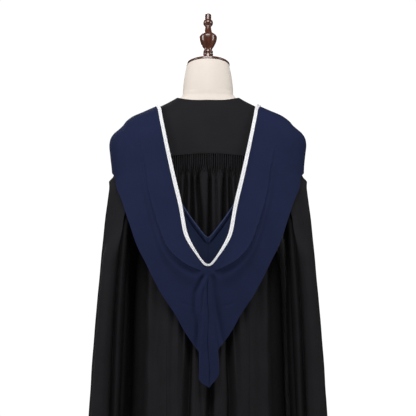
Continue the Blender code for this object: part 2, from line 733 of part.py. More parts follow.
def front_row(level, sign):
    top = front_seam(0.06) - SEAM_GAP
    sag = 0.25 * ease(level, 1.20, top)
    reach = panel_reach(level)
    for _ in range(12):
        reach = panel_reach(level - sag * (reach - 0.06))
    outer, inner = [], []
    for x in fold_columns(FRONT_TRACKS, level, FRONT_EDGE_REACH(level), reach):
        height = level - sag * (x - 0.06)
        depth = folded(FRONT_TRACKS, x, height, 1.31, 1.22)
        for net, point in zip((outer, inner), panel_point(x, height, -1, depth)):
            net.append(point)
    for net in (outer, inner):
        net[-1] = held_off_side(net[-1], -1)
    if sign < 0:
        outer, inner = [mirrored(p) for p in outer], [mirrored(p) for p in inner]
    return outer, inner


def make_front(name, sign, finish):
    top = front_seam(0.06) - SEAM_GAP
    levels = (top, 1.300, 1.250, 1.200, 1.150, UNDERARM_HEIGHT, 1.050, 0.960, 0.840, 0.680, 0.480, HEM_HEIGHT)
    rows = [front_row(level, sign) for level in levels]
    return wall(name, [row[0] for row in rows], [row[1] for row in rows], finish)


# Sleeves


def sleeve_turns(height):
    """Degrees round a sleeve at which it has points: on each fold, beside it and between folds."""
    low = 1 - ease(height, SLEEVE_FOLD_LOW, SLEEVE_FOLD_TOP)
    places = [mix(fold["angle_high"], fold["angle_low"], low) for fold in SLEEVE_FOLDS]
    turns = []
    for here, there in zip(places, places[1:] + [places[0] + 360]):
        turns += [mix(here, there, share) for share in (0.0, 0.25, 0.5, 0.75)]
    return turns


def armhole_ring():
    """The armhole edge of the left side, round from the front of the underarm over the shoulder."""
    ring = []
    for turn in sleeve_turns(1.372):
        turn = math.radians(turn)
        height = mix(ARMHOLE_BOTTOM[1], ARMHOLE_TOP[1], 0.5 + 0.5 * math.cos(turn))
        side = 1 if math.sin(turn) >= 0 else -1
        ring.append(GOWN.on_face(armhole_reach(height), height, side))
    return ring


def sleeve_fold_depth(turn, height):
    low = 1 - ease(height, SLEEVE_FOLD_LOW, SLEEVE_FOLD_TOP)
    begun = 1 - ease(height, 1.16, SLEEVE_FOLD_TOP)
    deepest = 0.0
    for fold in SLEEVE_FOLDS:
        centre = mix(fold["angle_high"], fold["angle_low"], low)
        away = (turn - centre + 180) % 360 - 180
        depth = mix(fold["depth_high"], fold["depth_low"], low)
        deepest = max(deepest, depth * math.exp(-((away / fold["spread"]) ** 2)))
    return begun * deepest


def held_inside(sections, point, room):
    """Keeps a point a little inside a surface."""
    for _ in range(4):
        slope = sections.gradient(point)
        distance = sections.excess(point) / slope.length
        if distance > -room:
            point = point - slope.normalized() * (distance + room)
    return point


def room_under_hood(point):
    """How far inside the hood's bed the sleeve stays: it swells out again below the hood's edge."""
    edge = HOOD_SIDE_EDGE - 0.4 * max(0.0, abs(point.y) - 0.03)
    swell = ease(edge - point.z, 0.008, 0.030) * (1 - ease(abs(point.y), 0.050, 0.080))
    return SLEEVE_ROOM - SLEEVE_SWELL * swell


def sleeve_ring(row):
    """Outer points of one ring of the left sleeve."""
    outer = Vector((row["outer_x"], 0.0, row["outer_z"]))
    under = Vector((row["inner_x"], 0.0, row["inner_z"]))
    centre, arm = (outer + under) / 2, (outer - under) / 2
    ring = []
    for turn in sleeve_turns(centre.z):
        turn = math.radians(turn)
        power = 2 / SLEEVE_SQUARENESS
        across = math.copysign(abs(math.cos(turn)) ** power, math.cos(turn))
        along = math.copysign(abs(math.sin(turn)) ** power, math.sin(turn))
        depth = row["back"] if along > 0 else row["front"]
        tuck = row["tuck"] * ease(-along, 0.1, 0.85)
        point = centre + arm * across + Vector((-tuck, depth * along, 0.0))
        inwards = (centre - point).normalized()
        point = point + inwards * sleeve_fold_depth(math.degrees(turn), point.z)
        point.z -= row["drop"] * along
        if point.z > 1.05:
            point = held_inside(HOOD_BED, point, room_under_hood(point))
        ring.append(point)
    return ring


def make_sleeve(name, sign, finish):
    start = [p + Vector((SEAM_GAP * 1.1, 0.0, 0.0)) for p in armhole_ring()]
    rings = [start] + [sleeve_ring(row) for row in SLEEVE_RINGS]
    outer, inner = [], []
    for ring in rings:
        middle = sum(ring, Vector()) / len(ring)
        outer.append(ring)
        inner.append([p + (middle - p).normalized() * CLOTH for p in ring])
    for p in inner[0]:
        p.x = armhole_reach(p.z) + SEAM_GAP * 1.1
    if sign < 0:
        outer = [[mirrored(p) for p in ring] for ring in outer]
        inner = [[mirrored(p) for p in ring] for ring in inner]
    return wall(name, outer, inner, finish, looped=True)


# Hood


def station_ends(row):
    """The inner and outer end of a hood station on the gown."""
    if row["face"] == "top":
        inner = HOOD_BED.top_at(row["inner_x"], row["inner_y"])
        outer = HOOD_BED.side_at(row["outer_y"], row["outer_z"])
        return inner, outer
    side = 1 if row["face"] == "back" else -1
    inner = HOOD_BED.on_face(row["inner_x"], row["inner_z"], side)
    outer = HOOD_BED.on_face(row["outer_x"], row["outer_z"], side)
    return inner, outer


HOOD_LIFTS = ("inner_lift", "crease_lift", "foot_lift", "outer_lift")


def hood_tracks():
    """The hood's stations as smooth functions of their number."""
    rows = []
    for i, row in enumerate(HOOD_STATIONS):
        made = {"station": i, "crease": row["crease"], "foot": row["foot"]}
        for lift in HOOD_LIFTS:
            made[lift] = row[lift]
        for end, point in zip(("inner", "outer"), station_ends(row)):
            for axis, value in zip("xyz", point):
                made[f"{end}_{axis}"] = value
        rows.append(made)
    names = [name for name in rows[0] if name != "station"]
    return {name: Track(rows, "station", name) for name in names}


HOOD = hood_tracks()


def hood_ends(station):
    ends = []
    for end in ("inner", "outer"):
        point = Vector([HOOD[f"{end}_{axis}"](station) for axis in "xyz"])
        ends.append(HOOD_BED.settle(point))
    return ends


def hood_lift(station, share):
    """Height of the hood over the gown at a share of the way across."""
    shares = (0.0, HOOD["crease"](station), HOOD["foot"](station), 1.0)
    lifts = [HOOD[lift](station) for lift in HOOD_LIFTS]
    rows = table("share lift", *zip(shares, lifts))
    return Track(rows, "share", "lift")(share) * HOOD_LIFT_UNIT


def hood_point(station, share, extra=0.0):
    inner, outer = hood_ends(station)
    base = HOOD_BED.settle(inner.lerp(outer, share))
    return base + HOOD_BED.outward(base) * (hood_lift(station, share) + extra)


def trim_share(station):
    inner, outer = hood_ends(station)
    return min(0.34, TRIM_WIDTH / (outer - inner).length)


def hood_shares(station):
    """Shares of the way across at which the hood has points: the trim's edge, the crease and its foot among them."""
    trim, crease, foot = trim_share(station), HOOD["crease"](station), HOOD["foot"](station)
    crease = max(crease, trim * 1.25)
    foot = max(foot, mix(crease, 1.0, 0.25))
    shares = [0.0] + [mix(trim, crease, share) for share in (0.0, 0.36, 0.72)]
    shares += [crease, mix(crease, foot, 0.5)]
    return shares + [mix(foot, 1.0, share) for share in (0.0, 0.25, 0.5, 0.75, 1.0)]


def on_middle(point, sign):
    """Keeps a point of one half off the seam in the middle plane."""
    return Vector((max(point.x, SEAM_GAP * 0.6) * sign, point.y, point.z))


def make_hood_half(name, sign, finish):
    outer, inner = [], []
    for station in HOOD_ROWS:
        shares = hood_shares(station)
        for net, extra in ((outer, 0.0), (inner, -HOOD_CLOTH)):
            net.append([on_middle(hood_point(station, share, extra), sign) for share in shares])
    return wall(name, outer, inner, finish)


def make_trim(name, sign, finish):
    """Two flat cords side by side on the hood's neck edge, raised from the hood's own points."""
    outer, inner = [], []
    for station in HOOD_ROWS:
        inside = HOOD_ROWS[0] < station < HOOD_ROWS[-1]
        if inside and hood_ends(station)[0].x < 0.003:
            continue
        edge, seam = hood_point(station, 0.0), hood_point(station, trim_share(station))
        up_edge, up_seam = HOOD_BED.outward(edge), HOOD_BED.outward(seam)
        outer_row, inner_row = [], []
        for step, rise in ((0.0, 0.6), (0.25, 1.0), (0.5, 0.5), (0.75, 1.0), (1.0, 0.6)):
            point, up = edge.lerp(seam, step), up_edge.lerp(up_seam, step)
            outer_row.append(on_middle(point + up * (TRIM_GAP + TRIM_THICKNESS * rise), sign))
            inner_row.append(on_middle(point + up * TRIM_GAP, sign))
        outer.append(outer_row)
        inner.append(inner_row)
    return wall(name, outer, inner, finish)


def make_lining(name, sign, finish):
    """The satin seen inside the hood: up the gown's back to a rolled edge, and up behind the trim."""
    outer, inner = [], []
    for row in LINING_STATIONS:
        far_top = HOOD_BED.on_face(row["top_x"], row["top_z"], 1)
        station = row["near_station"]
        reach = row["floor_share"]
        spread = HOOD_BED.settle(hood_ends(station)[0].lerp(hood_ends(station)[1], reach))
        line = []
        for share, lift in ((-0.03, row["roll"]), (0.0, row["roll"] - 1.5), (0.10, 3.2), (0.45, 2.4), (0.85, 2.4)):
            base = HOOD_BED.settle(far_top.lerp(spread, max(share, 0.0)))
            base.z += 0.004 * (share < 0)
            line.append((base, lift * HOOD_LIFT_UNIT))
        high = hood_lift(station, reach) - HOOD_CLOTH - LINING_GAP - LINING_CLOTH
        line.append((spread, mix(0.0024, high, 0.5)))
        for share in (0.85, 0.45, 0.0):
            base = HOOD_BED.settle(hood_ends(station)[0].lerp(hood_ends(station)[1], reach * share))
            line.append((base, hood_lift(station, reach * share) - HOOD_CLOTH - LINING_GAP))
        points = [base + HOOD_BED.outward(base) * lift for base, lift in line]
        outer.append([on_middle(p, sign) for p in points])
        inner.append([on_middle(p, sign) for p in thickened(points, LINING_CLOTH)])
    return wall(name, outer, inner, finish)


def thickened(points, distance):
    """A line of points moved sideways, square to itself."""
    moved = []
    for i, point in enumerate(points):
        along = points[min(i + 1, len(points) - 1)] - points[max(i - 1, 0)]
        normal = Vector((0.0, along.z, -along.y)).normalized()
        moved.append(point - normal * distance)
    return moved


# Dress form


def make_form(finish):
    count = 32
    rings = []
    for row in reversed(FORM_SECTIONS):
        ring = [FORM.point(2 * math.pi * k / count, row["height"]) for k in range(count)]
        if row["height"] > 1.32:
            ring = [held_inside(GOWN, p, CLOTH + FORM_ROOM) for p in ring]
        rings.append(ring)
    neck = Matrix.Translation(NECK_TOP) @ Matrix.Rotation(NECK_TILT, 4, "X")
    base = rings[-1]
    for share, radius in ((0.45, 0.0585), (1.0, 0.0548)):
        ring = []
        for k, low in enumerate(base):
            turn = 2 * math.pi * k / count
            high = neck @ Vector((radius * math.cos(turn), radius * math.sin(turn), 0.0))
            ring.append(low.lerp(high, share))
        rings.append(ring)
    return capped("form_torso", rings, finish)


def make_knob(finish):
    profile = [(row["radius"], row["along"]) for row in reversed(KNOB_PROFILE)]
    lift = Matrix.Translation((0.0, 0.0, SEAM_GAP))
    place = Matrix.Translation(NECK_TOP) @ Matrix.Rotation(NECK_TILT, 4, "X") @ lift
    return turned("neck_cap", profile, 16, finish, place)


def make_stand(finish_pole, finish_base):
    bpy.ops.mesh.primitive_cylinder_add(vertices=20, radius=POLE_RADIUS, depth=1.0)
    pole = bpy.context.object
    pole.name = "stand_pole"
    low = BASE_THICKNESS + SEAM_GAP
    pole.data.transform(Matrix.Diagonal((1.0, 1.0, FORM_BOTTOM - SEAM_GAP - low, 1.0)))
    pole.location.z = (FORM_BOTTOM - SEAM_GAP + low) / 2
    pole.data.materials.append(finish_pole)
    for holder in pole.users_collection:
        holder.objects.unlink(pole)
    PARTS.objects.link(pole)
    rim = 0.004
    profile = [
        (BASE_RADIUS - 0.020, BASE_THICKNESS),
        (BASE_RADIUS - rim, BASE_THICKNESS - 0.006),
        (BASE_RADIUS, BASE_THICKNESS - 0.010),
        (BASE_RADIUS, rim),
        (BASE_RADIUS - rim, 0.0),
    ]
    turned("stand_base", profile, 40, finish_base, Matrix.Identity(4))


for old in list(bpy.data.objects):
    bpy.data.objects.remove(old)
PARTS = bpy.data.collections.new("graduation_gown")
bpy.context.scene.collection.children.link(PARTS)

BLACK_CLOTH = material("black_cloth", (0.020, 0.019, 0.020), 0.85)
NAVY_CLOTH = material("navy_cloth", (0.018, 0.025, 0.063), 0.80)
NAVY_SATIN = material("navy_satin", (0.012, 0.017, 0.042), 0.45)
WHITE_CORD = material("white_cord", (0.84, 0.84, 0.87), 0.55)
LINEN = material("linen_cover", (0.76, 0.69, 0.62), 0.90)
DARK_WOOD = material("dark_wood", (0.085, 0.026, 0.014), 0.30)
STEEL = material("stand_steel", (0.55, 0.55, 0.56), 0.35, 1.0)

make_yoke(BLACK_CLOTH)
make_back(BLACK_CLOTH)
for side_name, side_sign in (("left", 1), ("right", -1)):
    make_front(f"front_{side_name}", side_sign, BLACK_CLOTH)
    make_sleeve(f"sleeve_{side_name}", side_sign, BLACK_CLOTH)
    make_hood_half(f"hood_{side_name}", side_sign, NAVY_CLOTH)
    make_trim(f"trim_{side_name}", side_sign, WHITE_CORD)
    make_lining(f"lining_{side_name}", side_sign, NAVY_SATIN)
make_form(LINEN)
make_knob(DARK_WOOD)
make_stand(STEEL, DARK_WOOD)
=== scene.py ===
"""A graduation gown with its hood on a limbless dress form, seen from behind.

Metres, +Z up. The wearer's front faces -Y, the back +Y, the wearer's left is +X.
Every cloth surface is a net of points on level sections. Folds go inwards from them.
"""

import math

import bpy
import numpy as np
from mathutils import Matrix, Vector


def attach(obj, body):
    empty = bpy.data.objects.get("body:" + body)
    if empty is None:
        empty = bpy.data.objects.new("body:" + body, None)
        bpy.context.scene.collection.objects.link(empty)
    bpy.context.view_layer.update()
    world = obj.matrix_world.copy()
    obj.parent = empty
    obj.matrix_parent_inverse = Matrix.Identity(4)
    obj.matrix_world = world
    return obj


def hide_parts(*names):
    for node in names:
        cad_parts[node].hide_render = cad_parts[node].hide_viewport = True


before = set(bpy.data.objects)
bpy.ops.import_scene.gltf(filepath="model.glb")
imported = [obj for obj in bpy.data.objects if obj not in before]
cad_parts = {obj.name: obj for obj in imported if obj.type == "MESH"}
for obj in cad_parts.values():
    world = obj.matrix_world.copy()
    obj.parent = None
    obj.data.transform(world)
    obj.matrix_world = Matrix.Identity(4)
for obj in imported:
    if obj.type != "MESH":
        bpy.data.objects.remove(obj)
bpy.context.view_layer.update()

# Cloth, seams and sizes, as in the solids

CLOTH = 0.0022
HOOD_CLOTH = 0.0024
LINING_CLOTH = 0.0016
SEAM_GAP = 0.0003
TRIM_GAP = 0.0008
LINING_GAP = 0.0018
NAPE_HEIGHT = 1.422
NECK_SIDE_HEIGHT = 1.431
YOKE_SEAM_HEIGHT = 1.285
YOKE_SEAM_CURVE = 0.72
FRONT_SEAM_HEIGHT = 1.338
UNDERARM_HEIGHT = 1.115
HEM_HEIGHT = 0.26
FLUTE_COUNT = 44
FLUTE_PITCH = 0.0054
FLUTE_DEPTH = 0.0062
ARMHOLE_TOP = (0.2000, 1.369)
ARMHOLE_BOTTOM = (0.1720, 1.115)
SLEEVE_SWELL = 0.014
HOOD_SIDE_EDGE = 1.238
SLEEVE_ROOM = 0.0046
SLEEVE_SQUARENESS = 2.5
TRIM_WIDTH = 0.0108
FORM_ROOM = 0.0033
NECK_TILT = math.radians(16.0)
NECK_TOP = Vector((0.0, -0.021, 1.5145))
POLE_RADIUS = 0.016
BASE_RADIUS = 0.205
BASE_THICKNESS = 0.022
FORM_BOTTOM = 0.745


def table(columns, *rows):
    """Named columns as arrays."""
    names = columns.split()
    return {name: np.array([row[i] for row in rows], float) for i, name in enumerate(names)}


GOWN_SECTIONS = table(
    "height half_width back front squareness",
    (1.440, 0.0700, 0.0560, 0.0400, 2.10),
    (1.431, 0.0810, 0.0600, 0.0450, 2.15),
    (1.4200, 0.1000, 0.0650, 0.0520, 2.22),
    (1.4106, 0.1190, 0.0710, 0.0600, 2.30),
    (1.3956, 0.1515, 0.0815, 0.0710, 2.40),
    (1.3800, 0.1840, 0.0915, 0.0815, 2.48),
    (1.369, 0.2000, 0.0965, 0.0870, 2.50),
    (1.352, 0.2090, 0.1035, 0.0955, 2.60),
    (1.330, 0.2170, 0.1110, 0.1060, 2.60),
    (1.285, 0.2150, 0.1210, 0.1230, 2.60),
    (1.220, 0.2030, 0.1320, 0.1370, 2.60),
    (1.160, 0.1850, 0.1390, 0.1440, 2.55),
    (1.115, 0.1720, 0.1430, 0.1470, 2.50),
    (1.050, 0.1760, 0.1480, 0.1500, 2.45),
    (1.000, 0.1820, 0.1510, 0.1520, 2.40),
    (0.900, 0.1880, 0.1575, 0.1570, 2.40),
    (0.800, 0.1920, 0.1640, 0.1630, 2.40),
    (0.620, 0.1990, 0.1760, 0.1750, 2.40),
    (0.400, 0.2180, 0.1900, 0.1890, 2.40),
    (0.250, 0.2320, 0.1990, 0.1980, 2.40),
)

HOOD_BED_SECTIONS = table(
    "height half_width back front squareness",
    (1.440, 0.0720, 0.0575, 0.0415, 2.10),
    (1.431, 0.0840, 0.0620, 0.0470, 2.15),
    (1.4210, 0.1030, 0.0670, 0.0540, 2.22),
    (1.4130, 0.1200, 0.0728, 0.0620, 2.30),
    (1.3978, 0.1545, 0.0830, 0.0730, 2.40),
    (1.3822, 0.1895, 0.0930, 0.0830, 2.48),
    (1.3665, 0.2095, 0.1005, 0.0920, 2.52),
    (1.352, 0.2225, 0.1065, 0.0985, 2.55),
    (1.338, 0.2385, 0.1110, 0.1045, 2.55),
    (1.324, 0.2465, 0.1150, 0.1100, 2.52),
    (1.310, 0.2485, 0.1185, 0.1160, 2.50),
    (1.285, 0.2460, 0.1235, 0.1255, 2.50),
    (1.240, 0.2425, 0.1315, 0.1350, 2.50),
    (1.200, 0.2480, 0.1370, 0.1410, 2.50),
    (1.115, 0.2620, 0.1455, 0.1500, 2.50),
    (1.000, 0.2760, 0.1535, 0.1550, 2.50),
    (0.900, 0.2800, 0.1600, 0.1600, 2.50),
    (0.800, 0.2900, 0.1665, 0.1650, 2.50),
    (0.620, 0.3050, 0.1785, 0.1770, 2.50),
)

FORM_SECTIONS = table(
    "height half_width back front centre squareness",
    (1.4480, 0.0650, 0.0560, 0.0570, -0.0060, 2.00),
    (1.4357, 0.0714, 0.0585, 0.0560, -0.0020, 2.05),
    (1.4270, 0.0820, 0.0600, 0.0530, 0.0000, 2.10),
    (1.4180, 0.1010, 0.0620, 0.0550, 0.0000, 2.20),
    (1.4060, 0.1290, 0.0660, 0.0600, 0.0000, 2.30),
    (1.3900, 0.1580, 0.0735, 0.0690, 0.0000, 2.40),
    (1.3720, 0.1800, 0.0815, 0.0780, 0.0000, 2.50),
    (1.3550, 0.1870, 0.0900, 0.0860, 0.0000, 2.50),
    (1.3300, 0.1840, 0.0950, 0.0950, 0.0000, 2.50),
    (1.2800, 0.1680, 0.0990, 0.1080, 0.0000, 2.40),
    (1.2200, 0.1570, 0.1000, 0.1180, 0.0000, 2.30),
    (1.1600, 0.1510, 0.0970, 0.1200, 0.0000, 2.25),
    (1.1000, 0.1420, 0.0910, 0.1120, 0.0000, 2.20),
    (1.0300, 0.1300, 0.0840, 0.0960, 0.0000, 2.15),
    (0.9900, 0.1270, 0.0820, 0.0900, 0.0000, 2.15),
    (0.9300, 0.1350, 0.0920, 0.0910, 0.0000, 2.20),
    (0.8600, 0.1470, 0.1060, 0.0950, 0.0000, 2.30),
    (0.8000, 0.1520, 0.1100, 0.0960, 0.0000, 2.30),
    (0.7600, 0.1500, 0.1070, 0.0930, 0.0000, 2.30),
    (0.7450, 0.1460, 0.1030, 0.0900, 0.0000, 2.30),
)

FRONT_EDGE = table(
    "height reach",
    (1.431, 0.0600),
    (1.395, 0.0620),
    (1.340, 0.0590),
    (1.200, 0.0560),
    (1.000, 0.0560),
    (0.600, 0.0600),
    (0.260, 0.0660),
)

# Folds of the back: place across at five heights, sharpness, and depth at each height.
BACK_FOLDS = table(
    "p0 p1 p2 p3 p4 width d0 d1 d2 d3 d4",
    (0.0708, 0.0725, 0.0780, 0.0900, 0.1000, 0.0060, 0.004, 0.009, 0.008, 0.006, 0.014),
    (0.0560, 0.0560, 0.0590, 0.0620, 0.0660, 0.0046, 0.008, 0.019, 0.016, 0.008, 0.014),
    (0.0402, 0.0398, 0.0395, 0.0490, 0.0580, 0.0044, 0.010, 0.023, 0.022, 0.032, 0.036),
    (0.0204, 0.0250, 0.0195, 0.0190, 0.0210, 0.0052, 0.010, 0.024, 0.022, 0.010, 0.016),
    (-0.0042, -0.0044, -0.0045, -0.0050, -0.0060, 0.0044, 0.010, 0.024, 0.024, 0.030, 0.036),
    (-0.0195, -0.0200, -0.0240, -0.0260, -0.0260, 0.0046, 0.006, 0.009, 0.004, 0.004, 0.010),
    (-0.0412, -0.0408, -0.0400, -0.0545, -0.0600, 0.0046, 0.010, 0.023, 0.022, 0.032, 0.036),
    (-0.0550, -0.0556, -0.0600, -0.0700, -0.0800, 0.0050, 0.008, 0.018, 0.014, 0.008, 0.014),
    (-0.0697, -0.0715, -0.0800, -0.0960, -0.1040, 0.0060, 0.004, 0.009, 0.008, 0.006, 0.014),
    (0.0960, 0.1060, 0.1200, 0.1400, 0.1520, 0.0100, 0.002, 0.006, 0.013, 0.018, 0.024),
    (-0.0960, -0.1060, -0.1200, -0.1400, -0.1520, 0.0100, 0.002, 0.006, 0.013, 0.018, 0.024),
    (0.1300, 0.1450, 0.1560, 0.1740, 0.1860, 0.0100, 0.001, 0.004, 0.018, 0.024, 0.026),
    (-0.1300, -0.1450, -0.1560, -0.1740, -0.1860, 0.0100, 0.001, 0.004, 0.018, 0.024, 0.026),
)
BACK_FOLD_HEIGHTS = (1.262, 1.215, 1.120, 0.760, 0.260)

FRONT_FOLDS = table(
    "p0 p1 p2 p3 width d0 d1 d2 d3",
    (0.0900, 0.0880, 0.0900, 0.0950, 0.0080, 0.004, 0.012, 0.018, 0.022),
    (0.1180, 0.1160, 0.1250, 0.1320, 0.0090, 0.003, 0.012, 0.020, 0.026),
    (0.1440, 0.1420, 0.1600, 0.1720, 0.0100, 0.002, 0.008, 0.018, 0.024),
)
FRONT_FOLD_HEIGHTS = (1.260, 1.100, 0.700, 0.260)

SLEEVE_RINGS = table(
    "outer_x outer_z inner_x inner_z back front drop tuck",
    (0.2130, 1.3510, 0.1800, 1.1090, 0.0860, 0.0850, 0.000, 0.000),
    (0.2255, 1.3350, 0.1840, 1.1030, 0.0950, 0.0950, 0.000, 0.000),
    (0.2400, 1.3000, 0.1880, 1.0920, 0.1030, 0.1060, 0.000, 0.000),
    (0.2385, 1.2450, 0.1910, 1.0800, 0.1070, 0.1130, 0.000, 0.000),
    (0.2490, 1.2150, 0.1920, 1.0680, 0.1090, 0.1160, 0.000, 0.014),
    (0.2600, 1.1400, 0.1935, 1.0400, 0.1120, 0.1230, 0.000, 0.026),
    (0.2755, 1.0000, 0.1970, 0.9700, 0.1190, 0.1330, 0.000, 0.031),
    (0.2845, 0.9000, 0.1990, 0.8950, 0.1240, 0.1400, 0.000, 0.032),
    (0.2930, 0.8000, 0.2010, 0.8000, 0.1300, 0.1480, 0.000, 0.030),
    (0.3000, 0.7000, 0.2040, 0.7000, 0.1370, 0.1560, 0.010, 0.030),
    (0.3070, 0.6100, 0.2080, 0.6100, 0.1440, 0.1640, 0.040, 0.030),
    (0.3110, 0.5400, 0.2110, 0.5400, 0.1490, 0.1690, 0.085, 0.030),
)

SLEEVE_FOLDS = table(
    "angle_high angle_low spread depth_high depth_low",
    (-158.0, -158.0, 10.0, 0.004, 0.012),
    (-112.0, -112.0, 10.0, 0.012, 0.026),
    (-66.0, -64.0, 9.0, 0.006, 0.018),
    (-28.0, -30.0, 9.0, 0.008, 0.022),
    (2.0, 0.0, 9.0, 0.008, 0.018),
    (34.0, 30.0, 8.0, 0.008, 0.018),
    (108.0, 102.0, 8.0, 0.016, 0.030),
    (146.0, 142.0, 8.0, 0.004, 0.012),
)
SLEEVE_FOLD_TOP = 1.24
SLEEVE_FOLD_LOW = 0.62

# Stations of one half of the hood, from the chest over the shoulder down to the tail.
HOOD_STATIONS = (
    ("front", 0.0000, None, 1.1980, 0.0000, None, 1.1020, 0.50, 0.75, 4, 4, 4, 4),
    ("front", 0.0200, None, 1.2260, 0.0400, None, 1.1240, 0.50, 0.75, 4, 4, 4, 4),
    ("front", 0.0500, None, 1.2720, 0.0950, None, 1.1560, 0.50, 0.75, 4, 4, 4, 4),
    ("front", 0.0780, None, 1.3150, 0.1500, None, 1.1930, 0.50, 0.75, 4, 4, 4, 4),
    ("front", 0.1015, None, 1.3550, 0.1930, None, 1.2200, 0.50, 0.75, 4, 4, 3, 4),
    ("top", 0.1170, -0.050, None, None, -0.060, 1.2330, 0.50, 0.75, 4, 3, 3, 4),
    ("top", 0.1230, -0.025, None, None, -0.026, 1.2400, 0.50, 0.75, 2.4, 2.6, 3, 3),
    ("top", 0.1250, 0.000, None, None, 0.006, 1.2400, 0.45, 0.72, 2.4, 2.6, 3, 3),
    ("top", 0.1232, 0.028, None, None, 0.034, 1.2360, 0.42, 0.70, 2.4, 2.6, 3, 3),
    ("top", 0.1180, 0.056, None, None, 0.056, 1.2270, 0.38, 0.62, 3, 3, 3, 3),
    ("back", 0.1100, None, 1.3640, 0.2290, None, 1.2050, 0.40, 0.58, 4, 5, 3, 3),
    ("back", 0.0960, None, 1.3000, 0.2140, None, 1.1700, 0.44, 0.60, 5, 9, 4, 3),
    ("back", 0.0805, None, 1.2330, 0.1950, None, 1.1180, 0.50, 0.66, 9, 15, 5, 4),
    ("back", 0.0625, None, 1.1590, 0.1715, None, 1.0520, 0.50, 0.68, 17, 22, 6, 4),
    ("back", 0.0490, None, 1.0890, 0.1525, None, 1.0160, 0.46, 0.70, 28, 31, 9, 5),
    ("back", 0.0365, None, 1.0600, 0.1310, None, 0.9720, 0.38, 0.68, 36, 37, 12, 5),
    ("back", 0.0245, None, 1.0390, 0.1090, None, 0.9330, 0.28, 0.64, 42, 41, 16, 6),
    ("back", 0.0140, None, 1.0230, 0.0920, None, 0.9080, 0.20, 0.58, 46, 44, 20, 6),
    ("back", 0.0075, None, 1.0150, 0.0775, None, 0.8860, 0.15, 0.52, 48, 45, 24, 7),
    ("back", 0.0050, None, 1.0130, 0.0630, None, 0.8590, 0.13, 0.50, 48, 45, 26, 8),
    ("back", 0.0036, None, 1.0124, 0.0480, None, 0.8350, 0.12, 0.50, 48, 45, 27, 8),
    ("back", 0.0026, None, 1.0120, 0.0350, None, 0.8170, 0.12, 0.50, 48, 45, 28, 9),
    ("back", 0.0017, None, 1.0120, 0.0240, None, 0.8020, 0.12, 0.52, 48, 45, 29, 10),
    ("back", 0.0010, None, 1.0120, 0.0232, None, 0.7980, 0.12, 0.55, 48, 45, 32, 21),
    ("back", 0.0005, None, 1.0120, 0.0245, None, 0.7440, 0.10, 0.52, 48, 45, 32, 18),
    ("back", 0.0000, None, 1.0120, 0.0000, None, 0.7130, 0.09, 0.50, 48, 45, 33, 17),
)
HOOD_KEYS = ("crease", "foot", "inner_lift", "crease_lift", "foot_lift", "outer_lift")

LINING_STATIONS = table(
    "top_x top_z roll near_station floor_share",
    (0.0760, 1.1840, 4.0, 12.6, 0.30),
    (0.0620, 1.1560, 7.0, 13.4, 0.32),
    (0.0430, 1.1270, 10.0, 14.6, 0.34),
    (0.0260, 1.1040, 11.0, 16.0, 0.36),
    (0.0120, 1.0860, 11.0, 17.4, 0.40),
    (0.0030, 1.0770, 9.0, 20.0, 0.36),
    (0.0000, 1.0760, 8.0, 25.0, 0.30),
)

KNOB_PROFILE = table(
    "along radius",
    (0.0000, 0.0540),
    (0.0015, 0.0556),
    (0.0050, 0.0556),
    (0.0075, 0.0530),
    (0.0095, 0.0420),
    (0.0115, 0.0250),
    (0.0130, 0.0150),
    (0.0300, 0.0128),
    (0.0330, 0.0132),
    (0.0352, 0.0105),
    (0.0375, 0.0128),
    (0.0410, 0.0128),
    (0.0435, 0.0100),
    (0.0480, 0.0110),
    (0.0560, 0.0155),
    (0.0660, 0.0203),
    (0.0750, 0.0228),
    (0.0800, 0.0232),
    (0.0840, 0.0215),
    (0.0885, 0.0165),
    (0.0915, 0.0122),
    (0.0960, 0.0100),
    (0.1040, 0.0084),
    (0.1110, 0.0077),
    (0.1130, 0.0100),
    (0.1175, 0.0126),
    (0.1215, 0.0130),
    (0.1260, 0.0118),
    (0.1290, 0.0082),
    (0.1380, 0.0084),
    (0.1430, 0.0082),
    (0.1452, 0.0060),
)


# Working out


class Track:
    """A column of a table as a smooth function that never overshoots its rows."""

    def __init__(self, at, value):
        order = np.argsort(at)
        self.at = np.asarray(at, float)[order]
        self.value = np.asarray(value, float)[order]
        self.step = np.diff(self.at)
        rise = np.diff(self.value) / self.step
        self.slope = np.zeros(len(self.at))
        self.slope[0], self.slope[-1] = rise[0], rise[-1]
        same = rise[:-1] * rise[1:]
        total = np.where(same > 0, rise[:-1] + rise[1:], 1.0)
        self.slope[1:-1] = np.where(same > 0, 2 * same / total, 0.0)

    def __call__(self, at):
        at = np.clip(at, self.at[0], self.at[-1])
        i = np.clip(np.searchsorted(self.at, at, side="right") - 1, 0, len(self.step) - 1)
        h = self.step[i]
        t = (at - self.at[i]) / h
        return (
            self.value[i] * (1 + 2 * t) * (1 - t) ** 2
            + self.slope[i] * h * t * (1 - t) ** 2
            + self.value[i + 1] * t * t * (3 - 2 * t)
            + self.slope[i + 1] * h * t * t * (t - 1)
        )


def mix(a, b, share):
    return a + (b - a) * share


def ease(at, start, end):
    share = np.clip((at - start) / (end - start), 0.0, 1.0)
    return share * share * (3 - 2 * share)


def bump(at, centre, width):
    return np.exp(-(((at - centre) / width) ** 2))


def signed_power(value, power):
    return np.sign(value) * np.abs(value) ** power


def points(x, y, z):
    return np.stack(np.broadcast_arrays(x, y, z), axis=-1).astype(float)


def unit(v):
    return v / np.maximum(np.linalg.norm(v, axis=-1, keepdims=True), 1e-9)


